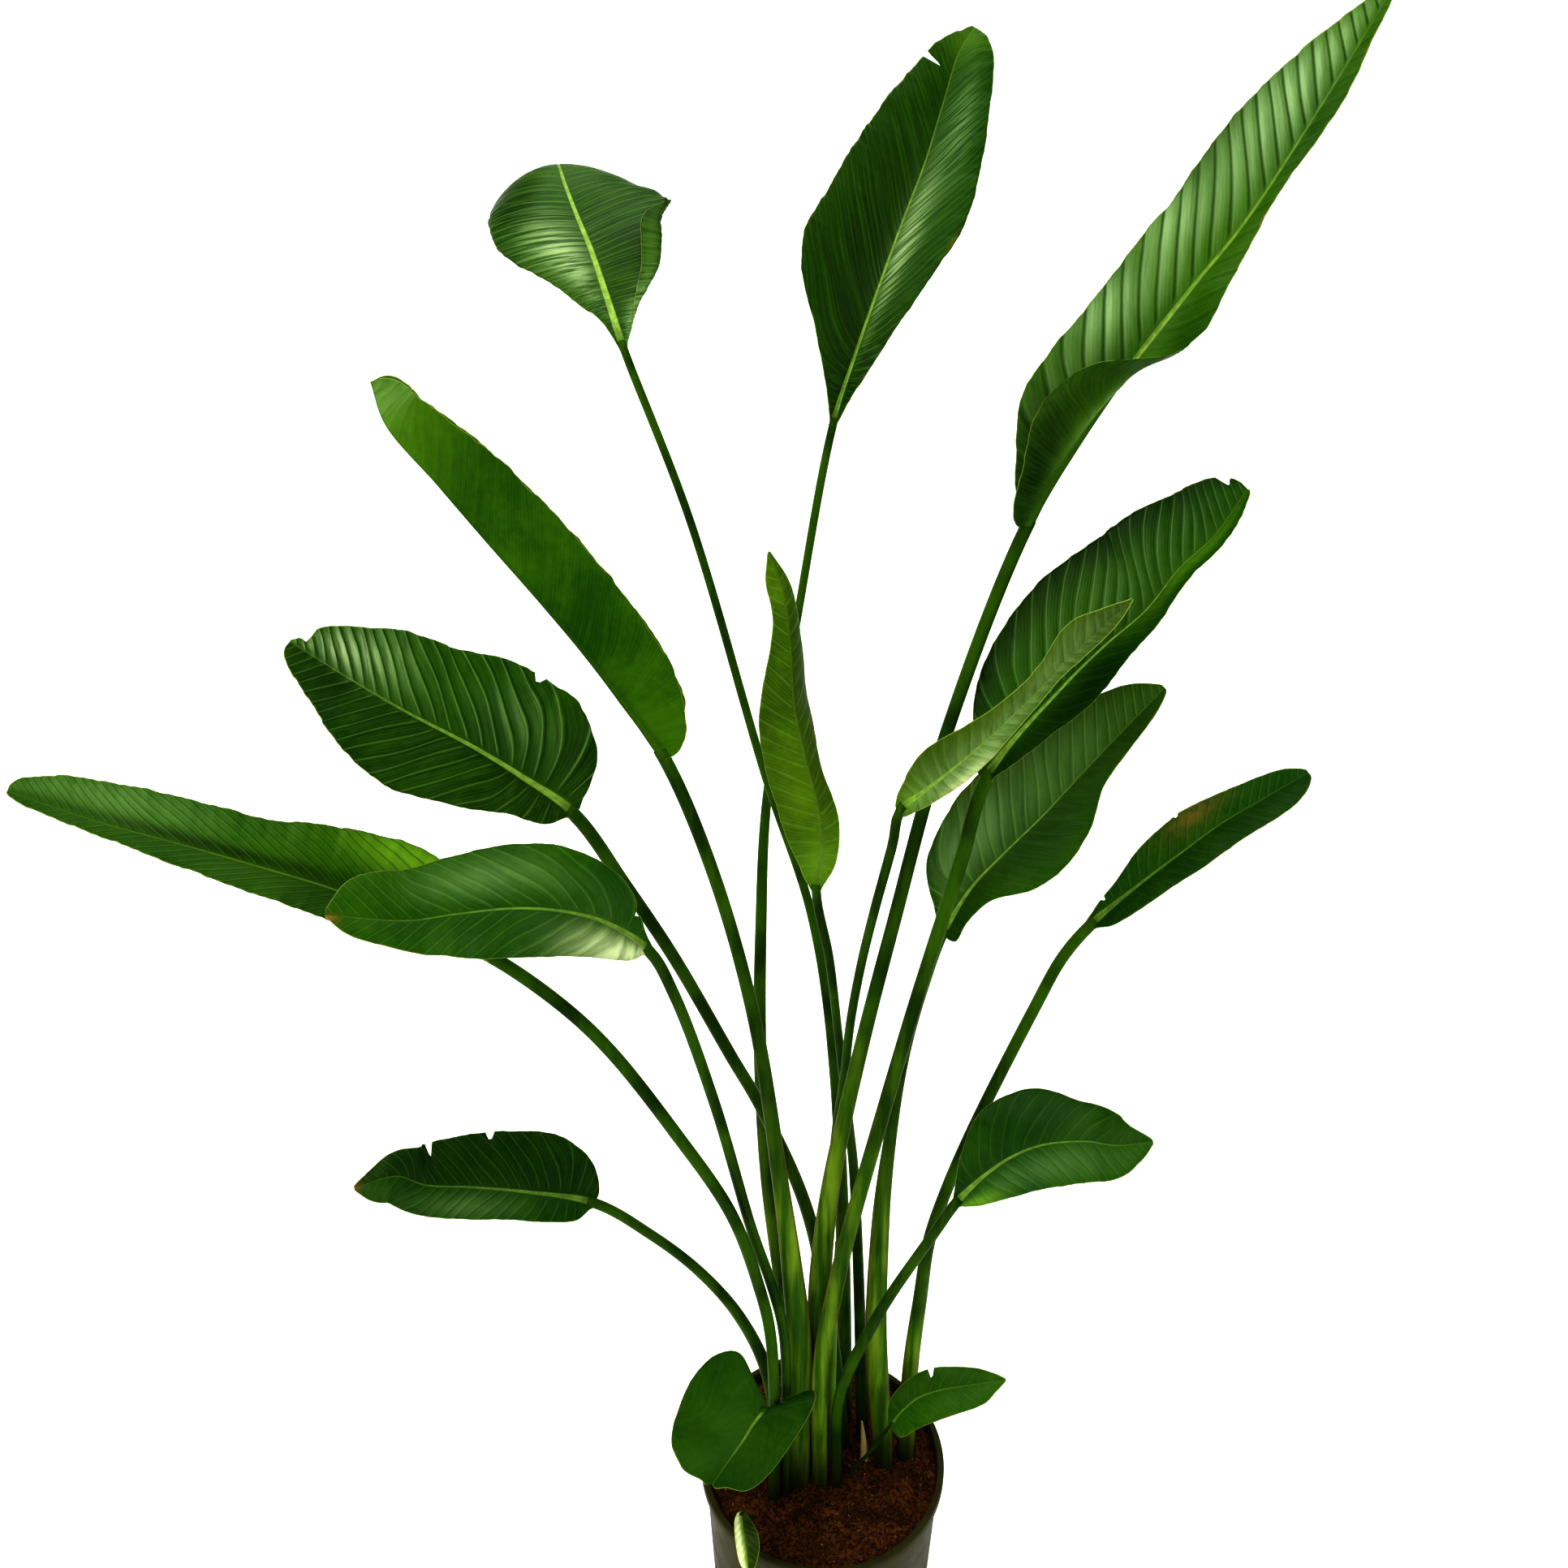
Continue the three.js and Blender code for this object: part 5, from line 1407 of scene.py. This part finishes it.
FLOOR_RADII = (1, 600, 1800)
COVE_RADIUS = 1800
WALL_HEIGHT = 3800
WALL_THICKNESS = 60
STAGE_SEGMENTS = 96
# Name, size in metres, place, turn in degrees and colour of each light.
LIGHTS = (
    ("key", 2.4, (-1.9, -1.5, 3.1), (38, 0, -52), (1.0, 0.98, 0.94)),
    ("fill", 2.6, (2.6, -1.9, 2.2), (58, 0, 54), (0.94, 0.97, 1.0)),
    ("top", 3.0, (0.2, 0.8, 3.9), (-8, 0, 0), (0.97, 0.99, 1.0)),
)


class PLANT_OT_stage(bpy.types.Operator):
    """Set up the pale backdrop, the soft lights and the camera"""

    bl_idname = "plant.stage"
    bl_label = "Stage"

    def execute(self, context):
        look = context.scene.plant_stage
        scene = context.scene
        scene.view_settings.view_transform = "Standard"
        scene.view_settings.look = "Very High Contrast"
        radius = look.radius * 1000
        behind = radius + WALL_THICKNESS
        floor = [(inner, 0) for inner in FLOOR_RADII]
        t = np.linspace(0, np.pi / 2, 16)
        cove = np.stack([radius - COVE_RADIUS + COVE_RADIUS * np.sin(t),
                         COVE_RADIUS - COVE_RADIUS * np.cos(t)], -1)
        wall = [(radius, WALL_HEIGHT), (behind, WALL_HEIGHT), (behind, -WALL_THICKNESS),
                (FLOOR_RADII[0], -WALL_THICKNESS)]
        profile = np.concatenate([floor, cove, wall])
        backdrop = ring_mesh("backdrop", lathe_rings(profile[::-1], STAGE_SEGMENTS))
        backdrop.data.materials.append(stage_material(look))
        backdrop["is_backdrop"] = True

        for name, size, place, turn, colour in LIGHTS:
            self.light(name, getattr(look, name), size, place, turn, colour)
        world = bpy.data.worlds.new("even_light")
        world.use_nodes = True
        sky = world.node_tree.nodes["Background"].inputs
        sky["Color"].default_value = (1, 1, 1, 1)
        sky["Strength"].default_value = look.sky
        scene.world = world

        lens = bpy.data.cameras.new("camera")
        lens.lens = look.lens
        lens.sensor_width = 36
        lens.clip_start, lens.clip_end = 0.02, 60
        camera = bpy.data.objects.new("camera", lens)
        camera.location = look.eye
        camera.rotation_euler = Euler((np.pi / 2 - look.tilt, 0, 0))
        scene.collection.objects.link(camera)
        scene.camera = camera
        return {"FINISHED"}

    @staticmethod
    def light(name, watts, size, place, turn, colour):
        """A square soft light at a place, turned by three angles in degrees."""
        lamp = bpy.data.lights.new(name, "AREA")
        lamp.energy, lamp.size, lamp.color = watts, size, colour
        holder = bpy.data.objects.new(name, lamp)
        holder.location = place
        holder.rotation_euler = Euler(np.radians(turn))
        bpy.context.scene.collection.objects.link(holder)


class PLANT_PT_panel(bpy.types.Panel):
    """Lists the pieces of the potted plant"""

    bl_idname = "PLANT_PT_panel"
    bl_label = "Potted bird of paradise"
    bl_space_type = "VIEW_3D"
    bl_region_type = "UI"
    bl_category = "Plant"

    def draw(self, context):
        for operator in OPERATORS:
            self.layout.operator(operator.bl_idname)
        for name in SETTINGS:
            settings = getattr(context.scene, name)
            box = self.layout.box()
            for key in settings.__annotations__:
                box.prop(settings, key)


OPERATORS = (PLANT_OT_pot, PLANT_OT_soil, PLANT_OT_stalks, PLANT_OT_shoots, PLANT_OT_blades,
             PLANT_OT_stage)
SETTINGS = {
    "plant_foliage": PLANT_PG_foliage,
    "plant_stalks": PLANT_PG_stalks,
    "plant_pot": PLANT_PG_pot,
    "plant_stage": PLANT_PG_stage,
}
CLASSES = (*SETTINGS.values(), *OPERATORS, PLANT_PT_panel)


def register():
    for item in CLASSES:
        bpy.utils.register_class(item)
    for name, group in SETTINGS.items():
        setattr(bpy.types.Scene, name, PointerProperty(type=group))


def unregister():
    for name in SETTINGS:
        delattr(bpy.types.Scene, name)
    for item in reversed(CLASSES):
        bpy.utils.unregister_class(item)


def main():
    register()
    bpy.ops.plant.pot()
    bpy.ops.plant.soil()
    bpy.ops.plant.stalks()
    bpy.ops.plant.shoots()
    bpy.ops.plant.blades()
    bpy.ops.plant.stage()
    boxes = {"cad": CAD_BOX, "visual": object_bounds()}
    {key: [list(corner) for corner in box] for key, box in boxes.items()}


if __name__ == "__main__":
    main()
